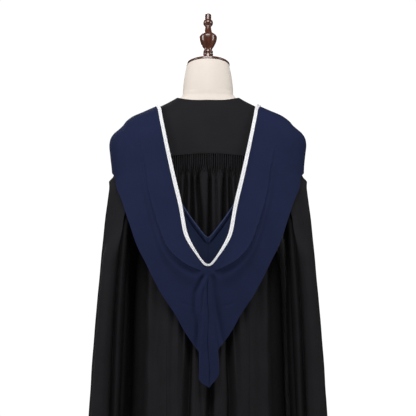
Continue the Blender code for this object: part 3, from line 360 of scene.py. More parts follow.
class Sections:
    """A closed surface given by level sections. Angle 0 is +X, a quarter turn is the back."""

    def __init__(self, rows):
        self.half_width = Track(rows["height"], rows["half_width"])
        self.back = Track(rows["height"], rows["back"])
        self.front = Track(rows["height"], rows["front"])
        self.squareness = Track(rows["height"], rows["squareness"])
        centre = rows["centre"] if "centre" in rows else np.zeros(len(rows["height"]))
        self.centre = Track(rows["height"], centre)

    def point(self, angle, height):
        power = 2.0 / self.squareness(height)
        depth = np.where(np.sin(angle) > 0, self.back(height), self.front(height))
        x = signed_power(np.cos(angle), power) * self.half_width(height)
        y = signed_power(np.sin(angle), power) * depth + self.centre(height)
        return points(x, y, height)

    def angle_at(self, x, height, side):
        share = np.minimum(1.0, np.abs(x) / self.half_width(height))
        angle = np.arccos(share ** (self.squareness(height) / 2.0))
        return side * np.where(x >= 0, angle, math.pi - angle)

    def on_face(self, x, height, side):
        return self.point(self.angle_at(x, height, side), height)

    def excess(self, p):
        x, y, z = p[..., 0], p[..., 1], p[..., 2]
        power = self.squareness(z)
        depth = np.where(y > 0, self.back(z), self.front(z))
        inside = np.abs(x / self.half_width(z)) ** power + np.abs(y / depth) ** power
        return inside ** (1 / power) - 1

    def gradient(self, p):
        step = 0.0005
        made = np.empty(p.shape)
        for axis in range(3):
            shift = np.zeros(3)
            shift[axis] = step
            made[..., axis] = (self.excess(p + shift) - self.excess(p - shift)) / (2 * step)
        return made

    def settle(self, p):
        for _ in range(10):
            slope = self.gradient(p)
            square = np.maximum((slope**2).sum(-1, keepdims=True), 1e-9)
            p = p - slope * (0.8 * self.excess(p)[..., None] / square)
        return p

    def outward(self, p):
        return unit(self.gradient(p))

    def top_at(self, x, y):
        low, high = 1.20, 1.44
        for _ in range(40):
            middle = (low + high) / 2
            inside = self.excess(points(x, y, middle)) < 0
            low, high = (middle, high) if inside else (low, middle)
        return points(x, y, low)

    def side_at(self, y, height):
        power = self.squareness(height)
        depth = self.back(height) if y > 0 else self.front(height)
        share = (1 - abs(y / depth) ** power) ** (1 / power)
        return points(self.half_width(height) * share, y, height)


GOWN = Sections(GOWN_SECTIONS)
HOOD_BED = Sections(HOOD_BED_SECTIONS)
FORM = Sections(FORM_SECTIONS)
FRONT_EDGE_REACH = Track(FRONT_EDGE["height"], FRONT_EDGE["reach"])


def waves(x, z, seed, sizes):
    """Slow unevenness between -1 and 1, the same on every run."""
    random = np.random.default_rng(seed)
    total = 0.0
    for size in sizes:
        turn, phase = random.uniform(0, math.pi), random.uniform(0, 2 * math.pi)
        total = total + np.sin((x * math.cos(turn) + z * math.sin(turn)) * 2 * math.pi / size + phase)
    return total / len(sizes)


# Meshes


def link(name, mesh):
    made = bpy.data.objects.new(name, mesh)
    bpy.context.scene.collection.objects.link(made)
    return made


def spread(net):
    """How far along each point is across and down its net, in metres."""
    across = np.zeros(net.shape[:2])
    down = np.zeros(net.shape[:2])
    across[:, 1:] = np.cumsum(np.linalg.norm(np.diff(net, axis=1), axis=-1), axis=1)
    down[1:, :] = np.cumsum(np.linalg.norm(np.diff(net, axis=0), axis=-1), axis=0)
    return across, down


def shell(name, outer, inner, material, looped=False, finer=None):
    """A closed cloth wall between an outer and an inner net. A finer pair of nets may lead into it."""
    vertices, faces, places = [], [], []
    count = 0

    def grid(net, down_from):
        nonlocal count
        rows, columns = net.shape[:2]
        across, down = spread(net)
        vertices.append(net.reshape(-1, 3))
        places.append(np.stack([across.ravel(), (down + down_from).ravel()], axis=1))
        ids = np.arange(rows * columns).reshape(rows, columns) + count
        count += rows * columns
        return ids

    def stretch(first, second):
        a, b = list(first), list(second)
        if looped:
            a, b = a + a[:1], b + b[:1]
        if len(a) == len(b):
            for k in range(len(a) - 1):
                faces.append((a[k], a[k + 1], b[k + 1], b[k]))
            return
        i = j = 0
        while i < len(a) - 1 or j < len(b) - 1:
            if j == len(b) - 1 or (i < len(a) - 1 and (i + 1) * (len(b) - 1) <= (j + 1) * (len(a) - 1)):
                faces.append((a[i], a[i + 1], b[j]))
                i += 1
            else:
                faces.append((a[i], b[j + 1], b[j]))
                j += 1

    sides = []
    for k, net in enumerate((outer, inner)):
        rows = []
        start = 0.0
        if finer is not None:
            rows.extend(grid(finer[k], 0.0))
            start = float(spread(finer[k])[1][-1].mean())
        rows.extend(grid(net, start))
        sides.append(rows)
    for rows in sides:
        for first, second in zip(rows, rows[1:]):
            stretch(first, second)
    for end in (0, -1):
        stretch(sides[0][end], sides[1][end])
    if not looped:
        for end in (0, -1):
            stretch([row[end] for row in sides[0]], [row[end] for row in sides[1]])
    mesh = bpy.data.meshes.new(name)
    mesh.from_pydata(np.concatenate(vertices).tolist(), [], faces)
    place = np.concatenate(places)
    layer = mesh.uv_layers.new(name="cut")
    corner = np.empty(len(mesh.loops), int)
    mesh.loops.foreach_get("vertex_index", corner)
    layer.data.foreach_set("uv", place[corner].ravel())
    mesh.validate()
    made = link(name, mesh)
    tidy_normals(mesh)
    mesh.materials.append(material)
    mesh.shade_smooth()
    mesh.set_sharp_from_angle(angle=math.radians(60))
    return made


def tidy_normals(mesh):
    import bmesh

    bm = bmesh.new()
    bm.from_mesh(mesh)
    bmesh.ops.recalc_face_normals(bm, faces=bm.faces)
    bm.to_mesh(mesh)
    bm.free()


def mirrored(net):
    return net * np.array([-1.0, 1.0, 1.0])


def turned(name, radii, heights, steps, place, material):
    """A closed turned piece, its profile given from bottom to top."""
    angles = np.arange(steps) * 2 * math.pi / steps
    vertices = []
    for radius, height in zip(radii, heights):
        for angle in angles:
            vertices.append((radius * math.cos(angle), radius * math.sin(angle), height))
    faces = []
    for row in range(len(radii) - 1):
        for k in range(steps):
            a, b = row * steps + k, row * steps + (k + 1) % steps
            faces.append((a, b, b + steps, a + steps))
    faces.append(tuple(range(steps))[::-1])
    top = (len(radii) - 1) * steps
    faces.append(tuple(range(top, top + steps)))
    mesh = bpy.data.meshes.new(name)
    mesh.from_pydata(vertices, [], faces)
    mesh.transform(place)
    mesh.materials.append(material)
    mesh.shade_smooth()
    mesh.set_sharp_from_angle(angle=math.radians(45))
    return link(name, mesh)


# Materials


class Nodes:
    """Short ways of making a procedural finish."""

    def __init__(self, name, colour, roughness, **sockets):
        self.material = bpy.data.materials.new(name)
        self.material.use_nodes = True
        self.tree = self.material.node_tree
        self.shader = self.tree.nodes["Principled BSDF"]
        self.shader.inputs["Base Color"].default_value = (*colour, 1.0)
        self.shader.inputs["Roughness"].default_value = roughness
        for key, value in sockets.items():
            self.shader.inputs[key.replace("_", " ")].default_value = value

    def add(self, kind, **settings):
        node = self.tree.nodes.new("ShaderNode" + kind)
        for key, value in settings.items():
            if hasattr(node, key):
                setattr(node, key, value)
            else:
                node.inputs[key.replace("_", " ")].default_value = value
        return node

    def link(self, source, target):
        self.tree.links.new(source, target)

    def uv(self):
        return self.add("UVMap", uv_map="cut").outputs["UV"]

    def place(self):
        return self.add("TexCoord").outputs["Object"]

    def maths(self, operation, a, b=None, clamp=False):
        node = self.add("Math", operation=operation, use_clamp=clamp)
        for socket, value in zip(node.inputs, (a, b)):
            if value is None:
                continue
            if isinstance(value, (int, float)):
                socket.default_value = value
            else:
                self.link(value, socket)
        return node.outputs[0]

    def noise(self, vector, scale, detail=2.0, roughness=0.5, distortion=0.0):
        node = self.add("TexNoise", Scale=scale, Detail=detail, Roughness=roughness, Distortion=distortion)
        self.link(vector, node.inputs["Vector"])
        return node.outputs["Fac"]

    def ramp(self, value, *stops):
        node = self.add("ValToRGB")
        while len(node.color_ramp.elements) < len(stops):
            node.color_ramp.elements.new(0.5)
        for element, (position, colour) in zip(node.color_ramp.elements, stops):
            element.position = position
            element.color = (*colour, 1.0)
        self.link(value, node.inputs["Fac"])
        return node.outputs["Color"]

    def weave(self, pitch):
        """Height of a plain weave: threads over and under, across and down the cut."""
        split = self.add("SeparateXYZ")
        self.link(self.uv(), split.inputs[0])
        turns = 2 * math.pi / pitch
        across = self.maths("SINE", self.maths("MULTIPLY", split.outputs[0], turns))
        down = self.maths("SINE", self.maths("MULTIPLY", split.outputs[1], turns))
        crossing = self.maths("MULTIPLY", across, down)
        return self.maths("MULTIPLY_ADD", crossing, 0.5)

    def relief(self, height, distance, strength=1.0, under=None):
        node = self.add("Bump", Strength=strength, Distance=distance)
        self.link(height, node.inputs["Height"])
        if under is not None:
            self.link(under, node.inputs["Normal"])
        return node.outputs["Normal"]

    def finish(self, colour=None, roughness=None, normal=None):
        for value, key in ((colour, "Base Color"), (roughness, "Roughness"), (normal, "Normal")):
            if value is not None:
                self.link(value, self.shader.inputs[key])
        return self.material


def scaled(colour, factor):
    return tuple(min(1.0, c * factor) for c in colour)


def cloth(name, colour, roughness, pitch, relief, mottle, sheen=0.0, tint=(1, 1, 1)):
    """Woven cloth: a plain weave, slubs along the threads and slow unevenness of colour."""
    made = Nodes(name, colour, roughness, Sheen_Weight=sheen, Sheen_Roughness=0.4)
    made.shader.inputs["Sheen Tint"].default_value = (*tint, 1.0)
    made.shader.inputs["Specular IOR Level"].default_value = 0.06
    uv = made.uv()
    stretch = made.add("Mapping")
    stretch.inputs["Scale"].default_value = (1.0, 0.12, 1.0)
    made.link(uv, stretch.inputs["Vector"])
    slubs = made.noise(stretch.outputs[0], 900.0, 2.0)
    slow = made.noise(made.place(), 14.0, 4.0, 0.6)
    fine = made.noise(uv, 420.0, 3.0, 0.6)
    level = made.maths("ADD", made.maths("MULTIPLY", slow, 0.6), made.maths("MULTIPLY", fine, 0.4))
    tone = made.ramp(level, (0.3, scaled(colour, 1 - mottle)), (0.7, scaled(colour, 1 + mottle)))
    threads = made.relief(made.weave(pitch), relief, 0.5)
    normal = made.relief(made.maths("ADD", slubs, fine), relief * 1.6, 0.35, threads)
    rough = made.maths("MULTIPLY_ADD", fine, 0.16)
    rough.node.inputs[2].default_value = roughness - 0.08
    return made.finish(tone, rough, normal)


BLACK_CLOTH = cloth("gown_cloth", (0.0156, 0.0149, 0.0166), 0.90, 0.0007, 0.00012, 0.14)
NAVY_CLOTH = cloth("hood_cloth", (0.0144, 0.0198, 0.0535), 0.88, 0.0007, 0.00012, 0.10)
LINEN = cloth("form_linen", (0.780, 0.705, 0.635), 0.90, 0.0010, 0.00015, 0.025, 0.05)


def satin():
    made = Nodes("hood_satin", (0.016, 0.022, 0.060), 0.42, Anisotropic=0.45)
    made.shader.inputs["Specular Tint"].default_value = (0.42, 0.52, 1.0, 1.0)
    made.shader.inputs["Specular IOR Level"].default_value = 0.9
    uv = made.uv()
    stretch = made.add("Mapping")
    stretch.inputs["Scale"].default_value = (0.08, 1.0, 1.0)
    made.link(uv, stretch.inputs["Vector"])
    floats = made.noise(stretch.outputs[0], 2600.0, 2.0)
    slow = made.noise(made.place(), 22.0, 3.0)
    tone = made.ramp(slow, (0.3, (0.011, 0.016, 0.041)), (0.7, (0.016, 0.022, 0.052)))
    normal = made.relief(floats, 0.00006, 0.5)
    rough = made.maths("MULTIPLY_ADD", floats, 0.12)
    rough.node.inputs[2].default_value = 0.36
    return made.finish(tone, rough, normal)


def cord_finish():
    """Silky white cord: slanting strands on each row, with painted bluish shade in the hollows between the strands."""
    made = Nodes("trim_cord", (0.86, 0.86, 0.89), 0.45, Sheen_Weight=0.15)
    split = made.add("SeparateXYZ")
    made.link(made.uv(), split.inputs[0])
    across, along = split.outputs[0], split.outputs[1]
    slant = made.maths("ADD", made.maths("MULTIPLY", across, 520.0), made.maths("MULTIPLY", along, 520.0))
    strands = made.maths("SINE", made.maths("MULTIPLY", slant, 2 * math.pi))
    level = made.maths("MULTIPLY_ADD", strands, 0.5)
    level.node.inputs[2].default_value = 0.5
    # Painted shade: the low end of this ramp darkens and blues the white cord where the strands dip, as shade in their
    # hollows.
    tone = made.ramp(level, (0.0, (0.84, 0.84, 0.89)), (0.45, (0.95, 0.95, 0.97)), (1.0, (0.97, 0.97, 0.98)))
    normal = made.relief(level, 0.0003, 0.6)
    return made.finish(tone, None, normal)


def wood():
    """Turned hardwood under a dark red-brown varnish."""
    made = Nodes("dark_wood", (0.085, 0.026, 0.014), 0.28, Coat_Weight=0.6, Coat_Roughness=0.06)
    stretch = made.add("Mapping")
    stretch.inputs["Scale"].default_value = (34.0, 34.0, 4.0)
    made.link(made.place(), stretch.inputs["Vector"])
    grain = made.noise(stretch.outputs[0], 2.4, 6.0, 0.62, 1.4)
    pores = made.noise(stretch.outputs[0], 26.0, 3.0, 0.7)
    tone = made.ramp(grain, (0.25, (0.030, 0.009, 0.006)), (0.5, (0.085, 0.026, 0.014)), (0.75, (0.150, 0.050, 0.026)))
    normal = made.relief(pores, 0.00008, 0.25)
    rough = made.maths("MULTIPLY_ADD", pores, 0.14)
    rough.node.inputs[2].default_value = 0.20
    return made.finish(tone, rough, normal)


def steel():
    made = Nodes("stand_steel", (0.55, 0.55, 0.56), 0.32, Metallic=1.0)
    stretch = made.add("Mapping")
    stretch.inputs["Scale"].default_value = (1.0, 1.0, 0.02)
    made.link(made.place(), stretch.inputs["Vector"])
    lines = made.noise(stretch.outputs[0], 900.0, 3.0)
    tone = made.ramp(lines, (0.3, (0.48, 0.48, 0.49)), (0.7, (0.60, 0.60, 0.61)))
    rough = made.maths("MULTIPLY_ADD", lines, 0.2)
    rough.node.inputs[2].default_value = 0.24
    return made.finish(tone, rough, made.relief(lines, 0.00003, 0.4))


NAVY_SATIN = satin()
WHITE_CORD = cord_finish()
DARK_WOOD = wood()
STEEL = steel()


# Gown


def yoke_seam(x):
    return YOKE_SEAM_HEIGHT - YOKE_SEAM_CURVE * x * x


def front_seam(x):
    return FRONT_SEAM_HEIGHT - 0.25 * (np.abs(x) - 0.06)


def armhole_reach(height):
    share = (height - ARMHOLE_BOTTOM[1]) / (ARMHOLE_TOP[1] - ARMHOLE_BOTTOM[1])
    return mix(ARMHOLE_BOTTOM[0], ARMHOLE_TOP[0], share)


def panel_reach(height):
    return np.where(height > UNDERARM_HEIGHT, armhole_reach(height), GOWN.half_width(height))


def armhole_corner(seam_height, side):
    height = 1.30
    for _ in range(20):
        height = seam_height(armhole_reach(height))
    return float(GOWN.angle_at(armhole_reach(height), height, side)), float(height)


BACK_CORNER = armhole_corner(yoke_seam, 1)
FRONT_CORNER = armhole_corner(front_seam, -1)


def armhole_height(angle):
    low, high = BACK_CORNER[1], ARMHOLE_TOP[1]
    for _ in range(40):
        middle = (low + high) / 2
        edge = GOWN.angle_at(armhole_reach(middle), middle, 1)
        low, high = (middle, high) if edge > abs(angle) else (low, middle)
    return low


def yoke_column(stretch, share, height):
    if stretch == "front":
        return mix(GOWN.angle_at(FRONT_EDGE_REACH(height), height, -1), FRONT_CORNER[0], share)
    if stretch == "front_shoulder":
        return mix(FRONT_CORNER[0], 0.0, share) + 0.0 * height
    if stretch == "back_shoulder":
        return mix(0.0, BACK_CORNER[0], share) + 0.0 * height
    reach = armhole_reach(BACK_CORNER[1])
    return GOWN.angle_at(reach * (1 - share), BACK_CORNER[1], 1) + 0.0 * height


def yoke_top(angle):
    turn = math.degrees(angle)
    if turn >= 0:
        return mix(NECK_SIDE_HEIGHT, NAPE_HEIGHT, ease(turn, 10, 80))
    return mix(NECK_SIDE_HEIGHT, 1.427, ease(-turn, 0, 50))


def yoke_bottom(stretch, share):
    if stretch in ("front_shoulder", "back_shoulder"):
        return armhole_height(float(yoke_column(stretch, share, 0.0)))
    seam = yoke_seam if stretch == "back" else front_seam
    height = float(seam(0.1))
    for _ in range(12):
        height = float(seam(GOWN.point(yoke_column(stretch, share, height), height)[0]))
    return height


def make_yoke():
    rows = 44
    columns_outer, columns_inner = [], []
    for stretch, count in (("front", 16), ("front_shoulder", 22), ("back_shoulder", 26), ("back", 60)):
        last = count + 1 if stretch == "back" else count
        for k in range(last):
            share = k / count
            bottom = yoke_bottom(stretch, share)
            top = NAPE_HEIGHT
            for _ in range(12):
                top = float(yoke_top(float(yoke_column(stretch, share, top))))
            heights = mix(top, bottom, (np.arange(rows + 1) / rows) ** 1.15)
            outer = GOWN.point(yoke_column(stretch, share, heights), heights)
            normal = GOWN.outward(outer)
            slack = 0.0006 * waves(outer[:, 0], outer[:, 2], 3, (0.09, 0.13, 0.21))
            edge = ease(heights, bottom, bottom + 0.004)
            outer = outer + normal * (slack * edge - 0.0006 * (1 - edge))[:, None]
            inner = outer - normal * CLOTH
            if stretch == "back":
                inner[-1, 2] = yoke_seam(inner[-1, 0])
            elif stretch == "front":
                inner[-1, 2] = front_seam(inner[-1, 0])
            columns_outer.append(outer)
            columns_inner.append(inner)
    nets = []
    for columns in (columns_outer, columns_inner):
        half = np.array(columns)
        whole = np.concatenate([half, mirrored(half[:-1][::-1])])
        nets.append(whole.transpose(1, 0, 2))
    return shell("yoke_cloth", *nets, BLACK_CLOTH), nets[0]


def fold_tracks(folds, heights):
    made = []
    for i in range(len(folds["width"])):
        places = [folds[f"p{k}"][i] for k in range(len(heights))]
        depths = [folds[f"d{k}"][i] for k in range(len(heights))]
        made.append((Track(heights, places), Track(heights, depths), folds["width"][i]))
    return made


BACK_TRACKS = fold_tracks(BACK_FOLDS, BACK_FOLD_HEIGHTS)
FRONT_TRACKS = fold_tracks(FRONT_FOLDS, FRONT_FOLD_HEIGHTS)


def folded(tracks, x, height, start, full, growth, wander):
    """How far inwards the folds take the cloth: narrow valleys between broad ridges."""
    grown = 1 - ease(height, full, start)
    spreading = 1 + growth * ease(-height, -1.15, -0.45)
    total = 0.0
    for i, (place, depth, width) in enumerate(tracks):
        drift = wander * np.sin(height * (11 + 3 * i) + 1.7 * i) * ease(-height, -1.2, -0.8)
        away = np.abs(x - place(height) - drift) / (width * spreading)
        total = np.maximum(total, depth(height) * np.exp(-(away**1.5)))
    return grown * total


def flute_depth(x, height):
    """Fine gathers under the yoke: they run down, gather round the deeper folds and run out."""
    under = yoke_seam(x) - height
    gather = 0.55 * ease(under, 0.024, 0.064)
    centres = [(place(height), place(BACK_FOLD_HEIGHTS[0])) for place, _, _ in BACK_TRACKS[:11]]
    now = np.stack([np.broadcast_to(c[0], np.shape(x)) for c in centres])
    before = np.array([float(c[1]) for c in centres])
    nearest = np.argmin(np.abs(now - x), axis=0)
    centre = np.take_along_axis(now, nearest[None], axis=0)[0]
    origin = before[nearest]
    source = origin + (x - centre) / (1 - gather)
    reach = np.abs(x - centre) / (0.0085 * (1 - 0.4 * gather))
    wave = 0.5 - 0.5 * np.cos(2 * math.pi * source / FLUTE_PITCH)
    sharp = wave**1.5
    strength = 1 + 0.22 * np.sin(source * 910.0) + 0.15 * np.sin(source * 391.0 + 1.0)
    fading = 1 - ease(under, 0.030 + 0.008 * np.sin(source * 533.0), 0.066 + 0.012 * np.sin(source * 700.0))
    inside = 1 - 0.8 * ease(reach, 0.9, 1.6) * ease(under, 0.030, 0.056)
    edge = 1 - ease(np.abs(x), 0.108, 0.122)
    starting = 0.55 + 0.45 * ease(under, 0.0, 0.006)
    return FLUTE_DEPTH * sharp * strength * fading * inside * edge * starting


def level_normal(p):
    normal = GOWN.gradient(p)
    normal[..., 2] = 0.0
    return unit(normal)


def panel_net(x, height, side, depth):
    base = GOWN.on_face(x, height, side)
    normal = level_normal(base)
    fade = 1 - np.abs(x / GOWN.half_width(height)) ** 8
    outer = base - normal * (depth * fade)[..., None]
    return outer, outer - normal * CLOTH


def back_nets(levels, across_of):
    top = yoke_seam(0.0) - SEAM_GAP
    outers, inners = [], []
    for level in levels:
        sag = float(ease(level, 1.15, top)) * YOKE_SEAM_CURVE
        reach = float(panel_reach(level))
        for _ in range(12):
            reach = float(panel_reach(level - sag * reach * reach))
        x = across_of(reach)
        height = level - sag * x * x
        depth = folded(BACK_TRACKS, x, height, 1.266, 1.205, 2.4, 0.0015)
        depth = depth + flute_depth(x, height)
        depth = depth + 0.0006 * (1 + waves(x, height, 5, (0.05, 0.08, 0.13)))
        low = ease(-height, -1.05, -0.7)
        depth = depth + 0.0012 * low * (bump(x, 0.102, 0.0016) + bump(x, -0.102, 0.0016))
        outer, inner = panel_net(x, height, 1, depth)
        if level <= UNDERARM_HEIGHT + 0.0001:
            for net in (outer, inner):
                net[0, 1] = net[-1, 1] = SEAM_GAP * 0.6
        outers.append(outer)
        inners.append(inner)
    return np.array(outers), np.array(inners)


def back_columns(reach):
    """Six places to a gather across the middle, then wider ones to the side."""
    half = FLUTE_COUNT * FLUTE_PITCH / 2
    middle = np.linspace(-half, half, FLUTE_COUNT * 6 + 1)
    side = np.linspace(half, reach, 21)[1:]
    return np.concatenate([-side[::-1], middle, side])


def make_back():
    top = yoke_seam(0.0) - SEAM_GAP
    gathers = top - np.array([0.0, 0.0008, 0.0018, 0.003, 0.0045])
    upper = np.linspace(top - 0.0065, 1.120, 62)
    lower = np.linspace(1.108, HEM_HEIGHT, 66)
    outer, inner = back_nets(np.concatenate([gathers, upper, [UNDERARM_HEIGHT], lower]), back_columns)
    return shell("back_cloth", outer, inner, BLACK_CLOTH), outer


def make_front(sign):
    top = float(front_seam(0.06)) - SEAM_GAP
    levels = np.concatenate([np.linspace(top, 1.122, 40), [UNDERARM_HEIGHT], np.linspace(1.105, HEM_HEIGHT, 80)])
    outers, inners = [], []
    for level in levels:
        sag = 0.25 * float(ease(level, 1.20, top))
        reach = float(panel_reach(level))
        for _ in range(12):
            reach = float(panel_reach(level - sag * (reach - 0.06)))
        edge = float(FRONT_EDGE_REACH(level))
        x = mix(edge, reach, np.linspace(0, 1, 101) ** 0.95)
        height = level - sag * (x - 0.06)
        depth = folded(FRONT_TRACKS, x, height, 1.31, 1.20, 1.6, 0.002)
        depth = depth + 0.0006 * (1 + waves(x, height, 8 if sign > 0 else 9, (0.05, 0.09, 0.14)))
        outer, inner = panel_net(x, height, -1, depth)
        if level <= UNDERARM_HEIGHT + 0.0001:
            outer[-1, 1] = inner[-1, 1] = -SEAM_GAP * 0.6
        outers.append(outer)
        inners.append(inner)
    outer, inner = np.array(outers), np.array(inners)
    if sign < 0:
        outer, inner = mirrored(outer), mirrored(inner)
    side = "left" if sign > 0 else "right"
    return shell(f"front_{side}_cloth", outer, inner, BLACK_CLOTH), outer


# Sleeves


def held_inside(sections, p, room):
    for _ in range(5):
        slope = sections.gradient(p)
        length = np.linalg.norm(slope, axis=-1)
        over = np.maximum(sections.excess(p) / length + room, 0.0)
        p = p - slope * (over / length)[..., None]
    return p


def room_under_hood(p):
    edge = HOOD_SIDE_EDGE - 0.4 * np.maximum(0.0, np.abs(p[..., 1]) - 0.03)
    swell = ease(edge - p[..., 2], 0.008, 0.030) * (1 - ease(np.abs(p[..., 1]), 0.050, 0.080))
    return SLEEVE_ROOM - SLEEVE_SWELL * swell


RING_TRACKS = {
    key: Track(np.arange(1, len(SLEEVE_RINGS["drop"]) + 1), SLEEVE_RINGS[key]) for key in SLEEVE_RINGS
}


def armhole_ring(turn):
    height = mix(ARMHOLE_BOTTOM[1], ARMHOLE_TOP[1], 0.5 + 0.5 * np.cos(turn))
    side = np.where(np.sin(turn) >= 0, 1.0, -1.0)
    ring = GOWN.point(side * GOWN.angle_at(armhole_reach(height), height, 1), height)
    ring[:, 0] = armhole_reach(height) + SEAM_GAP * 1.1
    return ring


def sleeve_fold_depth(turn, height):
    low = 1 - ease(height, SLEEVE_FOLD_LOW, SLEEVE_FOLD_TOP)
    begun = 1 - ease(height, 1.16, SLEEVE_FOLD_TOP)
    deepest = 0.0
    for i in range(len(SLEEVE_FOLDS["spread"])):
        centre = mix(SLEEVE_FOLDS["angle_high"][i], SLEEVE_FOLDS["angle_low"][i], low)
        centre = centre + 1.6 * np.sin(height * 13 + 2.1 * i)
        away = np.abs((turn - centre + 180) % 360 - 180) / SLEEVE_FOLDS["spread"][i]
        depth = mix(SLEEVE_FOLDS["depth_high"][i], SLEEVE_FOLDS["depth_low"][i], low)
        deepest = np.maximum(deepest, depth * np.exp(-(away**1.5)))
    return begun * deepest


def sleeve_ring(station, turn):
    values = {key: float(track(station)) for key, track in RING_TRACKS.items()}
    outer = np.array([values["outer_x"], 0.0, values["outer_z"]])
    under = np.array([values["inner_x"], 0.0, values["inner_z"]])
    centre, arm = (outer + under) / 2, (outer - under) / 2
    across = signed_power(np.cos(turn), 2 / SLEEVE_SQUARENESS)
    along = signed_power(np.sin(turn), 2 / SLEEVE_SQUARENESS)
    depth = np.where(along > 0, values["back"], values["front"])
    tuck = values["tuck"] * ease(-along, 0.1, 0.85)
    ring = centre + arm * across[:, None] + points(-tuck, depth * along, 0.0)
    inwards = unit(centre - ring)
    ring = ring + inwards * sleeve_fold_depth(np.degrees(turn), ring[:, 2])[:, None]
    unevenness = waves(ring[:, 1] * 1.3, ring[:, 2], 21, (0.06, 0.10, 0.17, 0.31))
    ring = ring + inwards * (0.0009 * (1 + unevenness))[:, None]
    ring[:, 2] -= values["drop"] * along
    held = held_inside(HOOD_BED, ring, room_under_hood(ring))
    ring = mix(ring, held, ease(ring[:, 2], 1.02, 1.11)[:, None])
    ring[:, 0] += 0.0055 * bump(ring[:, 2], 1.222, 0.013) * np.clip(across, 0, 1)
    return ring


def make_sleeve(sign):
    turn = np.arange(224) * 2 * math.pi / 224
    start = armhole_ring(turn)
    first = sleeve_ring(1.0, turn)
    outers = [start] + [mix(start, first, share) for share in (0.12, 0.3, 0.5, 0.72)]
    stations = np.concatenate([np.linspace(1, 6, 46), np.linspace(6, 12, 92)[1:]])
    outers += [sleeve_ring(station, turn) for station in stations]
    outer = np.array(outers)
    middle = outer.mean(axis=1, keepdims=True)
    inner = outer + unit(middle - outer) * CLOTH
    inner[0, :, 0] = armhole_reach(inner[0, :, 2]) + SEAM_GAP * 1.1
    if sign < 0:
        outer, inner = mirrored(outer), mirrored(inner)
    side = "left" if sign > 0 else "right"
    return shell(f"sleeve_{side}_cloth", outer, inner, BLACK_CLOTH, looped=True), outer


# Hood


def station_ends(row):
    face, inner_x, inner_y, inner_z, outer_x, outer_y, outer_z = row[:7]
    if face == "top":
        return HOOD_BED.top_at(inner_x, inner_y), HOOD_BED.side_at(outer_y, outer_z)
    side = 1 if face == "back" else -1
    return HOOD_BED.on_face(inner_x, inner_z, side), HOOD_BED.on_face(outer_x, outer_z, side)


STATION_NUMBERS = np.arange(len(HOOD_STATIONS))
STATION_ENDS = np.array([station_ends(row) for row in HOOD_STATIONS])
END_TRACKS = [[Track(STATION_NUMBERS, STATION_ENDS[:, end, axis]) for axis in range(3)] for end in range(2)]
HOOD = {key: Track(STATION_NUMBERS, [row[7 + i] for row in HOOD_STATIONS]) for i, key in enumerate(HOOD_KEYS)}


def hood_ends(station):
    ends = []
    for tracks in END_TRACKS:
        ends.append(HOOD_BED.settle(points(*[track(station) for track in tracks])))
    return ends


def across_lift(shares, lifts, share):
    """Smooth lift across each station, through its four known places."""
    step = np.diff(shares, axis=-1)
    rise = np.diff(lifts, axis=-1) / step
    slope = np.zeros(lifts.shape)
    slope[..., 0], slope[..., -1] = rise[..., 0], rise[..., -1]
    same = rise[..., :-1] * rise[..., 1:]
    total = np.where(same > 0, rise[..., :-1] + rise[..., 1:], 1.0)
    slope[..., 1:-1] = np.where(same > 0, 2 * same / total, 0.0)
    made = np.zeros(share.shape)
    for k in range(step.shape[-1]):
        low, high = shares[..., k : k + 1], shares[..., k + 1 : k + 2]
        h = step[..., k : k + 1]
        t = np.clip((share - low) / h, 0.0, 1.0)
        value = (
            lifts[..., k : k + 1] * (1 + 2 * t) * (1 - t) ** 2
            + slope[..., k : k + 1] * h * t * (1 - t) ** 2
            + lifts[..., k + 1 : k + 2] * t * t * (3 - 2 * t)
            + slope[..., k + 1 : k + 2] * h * t * t * (t - 1)
        )
        chosen = (share >= low) if k == 0 else (share > low)
        made = np.where(chosen, value, made)
    return made


def hood_lift(station, share):
    """Lift in metres. Station is a column of numbers, share has a row for each."""
    flat = station[:, 0]
    ones = np.ones(len(flat))
    shares = np.stack([0 * ones, HOOD["crease"](flat), HOOD["foot"](flat), ones], axis=-1)
    lifts = np.stack([HOOD[key](flat) for key in HOOD_KEYS[2:]], axis=-1)
    return across_lift(shares, lifts, share) * 0.001


def hood_base(station, share):
    inner, outer = hood_ends(station[:, 0])
    straight = inner[:, None, :] + (outer - inner)[:, None, :] * share[..., None]
    return HOOD_BED.settle(straight)


HOOD_WRINKLES = table(
    "height left right",
    (0.986, 0.0090, 0.0080),
    (0.962, 0.0190, 0.0105),
    (0.938, 0.0283, 0.0128),
    (0.904, 0.0290, 0.0180),
    (0.870, 0.0215, 0.0245),
    (0.819, 0.0250, 0.0346),
)
WRINKLE_TRACKS = {side: Track(HOOD_WRINKLES["height"], HOOD_WRINKLES[side]) for side in ("left", "right")}


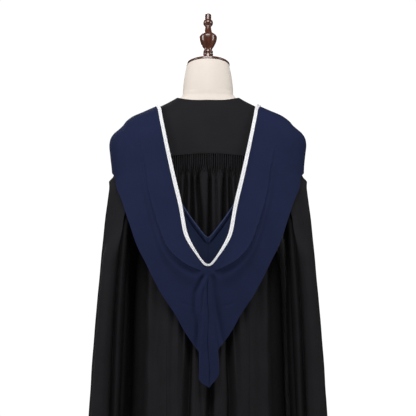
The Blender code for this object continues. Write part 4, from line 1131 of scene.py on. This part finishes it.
def hood_detail(station, share, base, lift, sign):
    """Small forms on the hood: the sharp crease and the hollow beside it, waves, wrinkles at the tail."""
    crease = HOOD["crease"](station)
    x, z = base[..., 0], base[..., 2]
    behind = ease(station, 9.3, 11.0) * (1 - ease(station, 16.5, 19))
    width = mix(0.05, 0.16, ease(station, 11, 17))
    past = share - crease
    hollow = np.where(past > 0, np.exp(-(((past - width * 0.42) / (width * 0.5)) ** 2)), 0.0)
    ridge = np.exp(-((past / 0.028) ** 2))
    depth = np.minimum(mix(0.004, 0.0085, ease(station, 11, 15)), 0.42 * lift)
    detail = behind * (ridge * 0.0016 - hollow * depth)
    detail = detail + 0.0014 * waves(x, z, 31 + (sign < 0), (0.07, 0.11, 0.19)) * ease(share, 0.1, 0.3)
    line = WRINKLE_TRACKS["left" if sign > 0 else "right"](z)
    window = ease(-z, -0.990, -0.975) * (1 - ease(-z, -0.835, -0.790))
    away = x - line
    valley = np.where(away < 0, bump(away, 0.0, 0.0042), bump(away, 0.0, 0.0085))
    beside = bump(away, -0.0105, 0.0052) * 0.5
    detail = detail - 0.0052 * window * (valley - beside) * (1.0 if sign > 0 else 0.8)
    diagonal = (z - 0.912) - 0.35 * (x - 0.045)
    detail = detail - 0.0011 * bump(diagonal, 0.0, 0.0024) * bump(x, 0.05, 0.018)
    shoulder = bump(x, 0.2145, 0.0035) * ease(z, 1.27, 1.30) * (base[..., 1] > 0)
    detail = detail - 0.0012 * shoulder
    centre = 1 - ease(x, 0.0, 0.0035)
    return detail - 0.0014 * centre * ease(-z, -0.985, -0.97)


def hood_surface(station, share, extra, sign=1):
    base = hood_base(station, share)
    lift = hood_lift(station, share)
    lift = lift + hood_detail(station, share, base, lift, sign) + extra
    surface = base + HOOD_BED.outward(base) * lift[..., None]
    surface[..., 0] = np.maximum(surface[..., 0], SEAM_GAP * 0.6)
    return surface


def tail_skew(net, sign):
    """The tail's end is cut a little askew."""
    low = ease(-net[..., 2], -0.84, -0.76)
    made = net.copy()
    made[..., 0] *= sign
    made[..., 2] -= 0.26 * made[..., 0] * low
    made[..., 0] -= 0.0026 * low
    return made


def trim_share(station):
    inner, outer = hood_ends(station)
    return np.minimum(0.34, TRIM_WIDTH / np.linalg.norm(outer - inner, axis=-1))


def make_hood(sign):
    numbers = np.concatenate([np.linspace(0, 9, 90), np.linspace(9, 18, 150)[1:], np.linspace(18, 22, 40)[1:]])
    numbers = np.concatenate([numbers, np.linspace(22, 23, 14)[1:], np.linspace(23, 25, 34)[1:]])
    station = numbers[:, None]
    share = np.linspace(0, 1, 81)[None, :] * np.ones((len(numbers), 1))
    outer = hood_surface(station, share, 0.0, sign)
    inner = hood_surface(station, share, -HOOD_CLOTH, sign)
    side = "left" if sign > 0 else "right"
    nets = [tail_skew(net, sign) for net in (outer, inner)]
    return shell(f"hood_{side}_cloth", *nets, NAVY_CLOTH), nets[0]


def make_trim(sign):
    """Two rows of cord side by side on the hood's neck edge."""
    ends = hood_ends(np.linspace(0, 25, 900))[0]
    numbers = np.linspace(0, 25, 900)
    along = np.concatenate([[0], np.cumsum(np.linalg.norm(np.diff(ends, axis=0), axis=1))])
    even = np.interp(np.linspace(0, along[-1], 420), along, numbers)
    station = even[:, None]
    width = trim_share(even) * mix(1.0, 0.5, ease(even, 12.5, 17.0))
    profile = np.linspace(0, 1, 25)
    lobe = np.sqrt(np.clip(1 - (np.abs(profile * 4 % 2 - 1)) ** 2, 0, 1))
    height = TRIM_GAP + 0.0004 + 0.0019 * lobe
    edge = hood_surface(station, 0 * station, 0.0, sign)
    seam = hood_surface(station, width[:, None], 0.0, sign)
    line = edge + (seam - edge) * profile[None, :, None]
    up = unit(HOOD_BED.outward(edge) + HOOD_BED.outward(seam))
    outer = line + up * height[None, :, None]
    inner = line + up * (TRIM_GAP * 0.4)
    for net in (outer, inner):
        net[..., 0] = np.maximum(net[..., 0], SEAM_GAP * 0.6)
    side = "left" if sign > 0 else "right"
    if sign < 0:
        outer, inner = mirrored(outer), mirrored(inner)
    return shell(f"trim_{side}_cord", outer, inner, WHITE_CORD), outer


LINING = {key: Track(np.arange(7), LINING_STATIONS[key]) for key in LINING_STATIONS}


def make_lining(sign):
    """Satin inside the hood's mouth: up the gown's back to a rolled edge, and up behind the trim."""
    columns_outer, columns_inner = [], []
    for number in np.linspace(0, 6, 61):
        row = {key: float(track(number)) for key, track in LINING.items()}
        far_top = HOOD_BED.on_face(row["top_x"], row["top_z"], 1)
        station = np.array([[row["near_station"]]])
        inner_end, outer_end = [end[0] for end in hood_ends(station[:, 0])]
        reach = 0.5 * row["floor_share"]
        spread_point = HOOD_BED.settle(mix(inner_end, outer_end, reach))
        line, lifts = [], []
        roll = row["roll"]
        for share, rise, lift in (
            (0.00, -0.0150, roll * 0.55),
            (0.00, -0.0105, roll * 0.80),
            (0.00, -0.0055, roll * 0.95),
            (0.00, 0.0000, roll),
            (0.00, 0.0032, roll * 0.80),
            (0.00, 0.0040, roll * 0.50),
            (0.01, 0.0030, 3.4),
            (0.05, 0.0, 2.9),
            (0.15, 0.0, 2.6),
            (0.30, 0.0, 2.4),
            (0.50, 0.0, 2.4),
            (0.70, 0.0, 2.4),
            (0.86, 0.0, 2.6),
        ):
            base = HOOD_BED.settle(mix(far_top, spread_point, share))
            base[2] += rise
            line.append(base)
            lifts.append(lift * 0.001)
        high = float(hood_lift(station, np.array([[reach]]))[0, 0]) - HOOD_CLOTH - LINING_GAP - LINING_CLOTH
        for share in (0.35, 0.65):
            line.append(spread_point - np.array([0.0, 0.0, 0.003]))
            lifts.append(mix(0.0026, high, share))
        for share in (0.86, 0.7, 0.5, 0.3, 0.15, 0.05, 0.0):
            base = HOOD_BED.settle(mix(inner_end, outer_end, reach * share))
            line.append(base)
            up = float(hood_lift(station, np.array([[reach * share]]))[0, 0])
            lifts.append(up - HOOD_CLOTH - LINING_GAP)
        line = np.array(line)
        made = line + HOOD_BED.outward(line) * np.array(lifts)[:, None]
        along = np.concatenate([[0], np.cumsum(np.linalg.norm(np.diff(made, axis=0), axis=1))])
        even = np.linspace(0, along[-1], 70)
        made = np.stack([Track(along, made[:, axis])(even) for axis in range(3)], axis=-1)
        tangent = np.gradient(made, axis=0)
        normal = unit(np.stack([0 * tangent[:, 0], tangent[:, 2], -tangent[:, 1]], axis=-1))
        columns_outer.append(made)
        columns_inner.append(made - normal * LINING_CLOTH)
    nets = []
    for columns in (columns_outer, columns_inner):
        net = np.array(columns)
        net[..., 0] = np.maximum(net[..., 0], SEAM_GAP * 0.6)
        net[..., 0] *= sign
        nets.append(net)
    side = "left" if sign > 0 else "right"
    return shell(f"lining_{side}_satin", *nets, NAVY_SATIN), nets[0]


# Dress form and stand


def make_form():
    turn = np.arange(144) * 2 * math.pi / 144
    rings = []
    for height in np.linspace(FORM_BOTTOM, 1.4480, 190):
        ring = FORM.point(turn, np.full(len(turn), height))
        if height > 1.30:
            room = CLOTH + FORM_ROOM
            ring = mix(ring, held_inside(GOWN, ring, room), float(ease(height, 1.30, 1.33)))
        rings.append(ring)
    neck = Matrix.Translation(NECK_TOP) @ Matrix.Rotation(NECK_TILT, 4, "X")
    low = rings[-1]
    for share in np.linspace(0, 1, 26)[1:]:
        radius = np.interp(share, (0.0, 0.45, 1.0), (0.0610, 0.0585, 0.0548))
        high = np.array([neck @ Vector((radius * math.cos(a), radius * math.sin(a), 0.0)) for a in turn])
        rings.append(mix(low, high, share))
    net = np.array(rings)
    mesh = bpy.data.meshes.new("form_cover")
    rows, columns = net.shape[:2]
    faces = []
    for i in range(rows - 1):
        for k in range(columns):
            j = (k + 1) % columns
            faces.append((i * columns + k, i * columns + j, (i + 1) * columns + j, (i + 1) * columns + k))
    faces.append(tuple(range(columns))[::-1])
    faces.append(tuple(range((rows - 1) * columns, rows * columns)))
    mesh.from_pydata(net.reshape(-1, 3).tolist(), [], faces)
    across, down = spread(net)
    place = np.stack([across.ravel(), down.ravel()], axis=1)
    layer = mesh.uv_layers.new(name="cut")
    corner = np.empty(len(mesh.loops), int)
    mesh.loops.foreach_get("vertex_index", corner)
    layer.data.foreach_set("uv", place[corner].ravel())
    mesh.materials.append(LINEN)
    mesh.shade_smooth()
    mesh.set_sharp_from_angle(angle=math.radians(50))
    return link("form_cover", mesh)


def make_knob():
    smooth = Track(np.arange(len(KNOB_PROFILE["along"])), KNOB_PROFILE["along"])
    radius = Track(np.arange(len(KNOB_PROFILE["radius"])), KNOB_PROFILE["radius"])
    numbers = np.linspace(0, len(KNOB_PROFILE["along"]) - 1, 180)
    lift = Matrix.Translation((0.0, 0.0, SEAM_GAP))
    place = Matrix.Translation(NECK_TOP) @ Matrix.Rotation(NECK_TILT, 4, "X") @ lift
    return turned("neck_cap_wood", radius(numbers), smooth(numbers), 96, place, DARK_WOOD)


def make_stand():
    low, high = BASE_THICKNESS + SEAM_GAP, FORM_BOTTOM - SEAM_GAP
    heights = [low, low + 0.001, low + 0.02, low + 0.022, high - 0.03, high - 0.028, high - 0.001, high]
    radii = [0.0150, 0.0160, 0.0160, 0.0158, 0.0158, 0.0160, 0.0160, 0.0150]
    pole = turned("stand_pole_steel", radii, heights, 64, Matrix.Identity(4), STEEL)
    rim = 0.004
    profile = [
        (BASE_RADIUS - rim, 0.0),
        (BASE_RADIUS - 0.0012, 0.0014),
        (BASE_RADIUS, rim),
        (BASE_RADIUS, BASE_THICKNESS - 0.010),
        (BASE_RADIUS - 0.0014, BASE_THICKNESS - 0.0078),
        (BASE_RADIUS - rim, BASE_THICKNESS - 0.0062),
        (BASE_RADIUS - 0.012, BASE_THICKNESS - 0.0022),
        (BASE_RADIUS - 0.020, BASE_THICKNESS),
        (0.030, BASE_THICKNESS),
        (0.0165, BASE_THICKNESS),
    ]
    radii, heights = [p[0] for p in profile], [p[1] for p in profile]
    base = turned("stand_base_wood", radii, heights, 128, Matrix.Identity(4), DARK_WOOD)
    return pole, base


# The pieces in their places


def place_sheet(made, node, net, looped=False):
    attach(made, "root")
    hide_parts(node)
    mesh = made.data
    area = sum(polygon.area for polygon in mesh.polygons) / 2
    across, down = spread(net)
    width, length = float(across[:, -1].max()), float(down[-1].max())
    area = min(max(area, 0.31 * width * length), width * length)
    print(f"cut {made.name} {width:.3f} x {length:.3f} area {area:.3f}")


yoke, net = make_yoke()
place_sheet(yoke, "yoke", net)
back, net = make_back()
place_sheet(back, "back", net)
for sign, side in ((1, "left"), (-1, "right")):
    front, net = make_front(sign)
    place_sheet(front, f"front_{side}", net)
    sleeve, net = make_sleeve(sign)
    place_sheet(sleeve, f"sleeve_{side}", net)
    hood, net = make_hood(sign)
    place_sheet(hood, f"hood_{side}", net)
    lining, net = make_lining(sign)
    place_sheet(lining, f"lining_{side}", net)
    trim, net = make_trim(sign)
    place_sheet(trim, f"trim_{side}", net)

form = make_form()
knob = make_knob()
pole, base = make_stand()
for made, node, slot in (
    (form, "form_torso", "linen_cover"),
    (knob, "neck_cap", "dark_wood"),
    (pole, "stand_pole", "stand_steel"),
    (base, "stand_base", "dark_wood"),
):
    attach(made, "root")
    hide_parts(node)


# Floor, light and camera


def make_floor():
    mesh = bpy.data.meshes.new("floor")
    ring = [(3.0 * math.cos(a), 3.0 * math.sin(a), 0.0) for a in np.arange(96) * 2 * math.pi / 96]
    mesh.from_pydata(ring, [], [tuple(range(96))])
    finish = Nodes("pale_floor", (0.86, 0.86, 0.86), 0.75)
    tone = finish.ramp(finish.noise(finish.place(), 3.0), (0.3, (0.84, 0.84, 0.84)), (0.7, (0.88, 0.88, 0.88)))
    mesh.materials.append(finish.finish(tone))
    link("floor", mesh)


def area_light(name, place, target, size, power, colour=(1, 1, 1)):
    light = bpy.data.lights.new(name, "AREA")
    light.shape = "RECTANGLE"
    light.size, light.size_y = size
    light.energy = power
    light.color = colour
    made = bpy.data.objects.new(name, light)
    bpy.context.scene.collection.objects.link(made)
    made.location = place
    made.rotation_euler = (Vector(target) - Vector(place)).to_track_quat("-Z", "Y").to_euler()


def make_light():
    world = bpy.data.worlds.new("studio")
    bpy.context.scene.world = world
    world.use_nodes = True
    tree = world.node_tree
    back = tree.nodes["Background"]
    back.inputs["Color"].default_value = (1, 1, 1, 1)
    seen = tree.nodes.new("ShaderNodeLightPath")
    strength = tree.nodes.new("ShaderNodeMapRange")
    strength.inputs["To Min"].default_value = 0.045
    strength.inputs["To Max"].default_value = 1.05
    tree.links.new(seen.outputs["Is Camera Ray"], strength.inputs["Value"])
    tree.links.new(strength.outputs[0], back.inputs["Strength"])
    area_light("key_left", (2.9, 0.95, 2.1), (0, 0, 1.2), (0.8, 1.6), 41)
    area_light("key_right", (-2.9, 0.95, 2.1), (0, 0, 1.2), (0.8, 1.6), 37)
    area_light("top", (0.1, 1.7, 3.1), (0, 0, 1.35), (1.8, 0.9), 53)
    area_light("front_fill", (0.9, -2.8, 2.2), (0, 0, 1.0), (1.8, 1.8), 45)


def make_camera():
    camera = bpy.data.cameras.new("photo")
    camera.sensor_fit = "HORIZONTAL"
    camera.angle = math.radians(17.3)
    made = bpy.data.objects.new("photo", camera)
    bpy.context.scene.collection.objects.link(made)
    made.location = (0.0, 3.5, 1.15)
    made.rotation_euler = (math.pi / 2, 0.0, math.pi)
    bpy.context.scene.camera = made


make_floor()
make_light()
make_camera()
bpy.context.scene.view_settings.view_transform = "Standard"
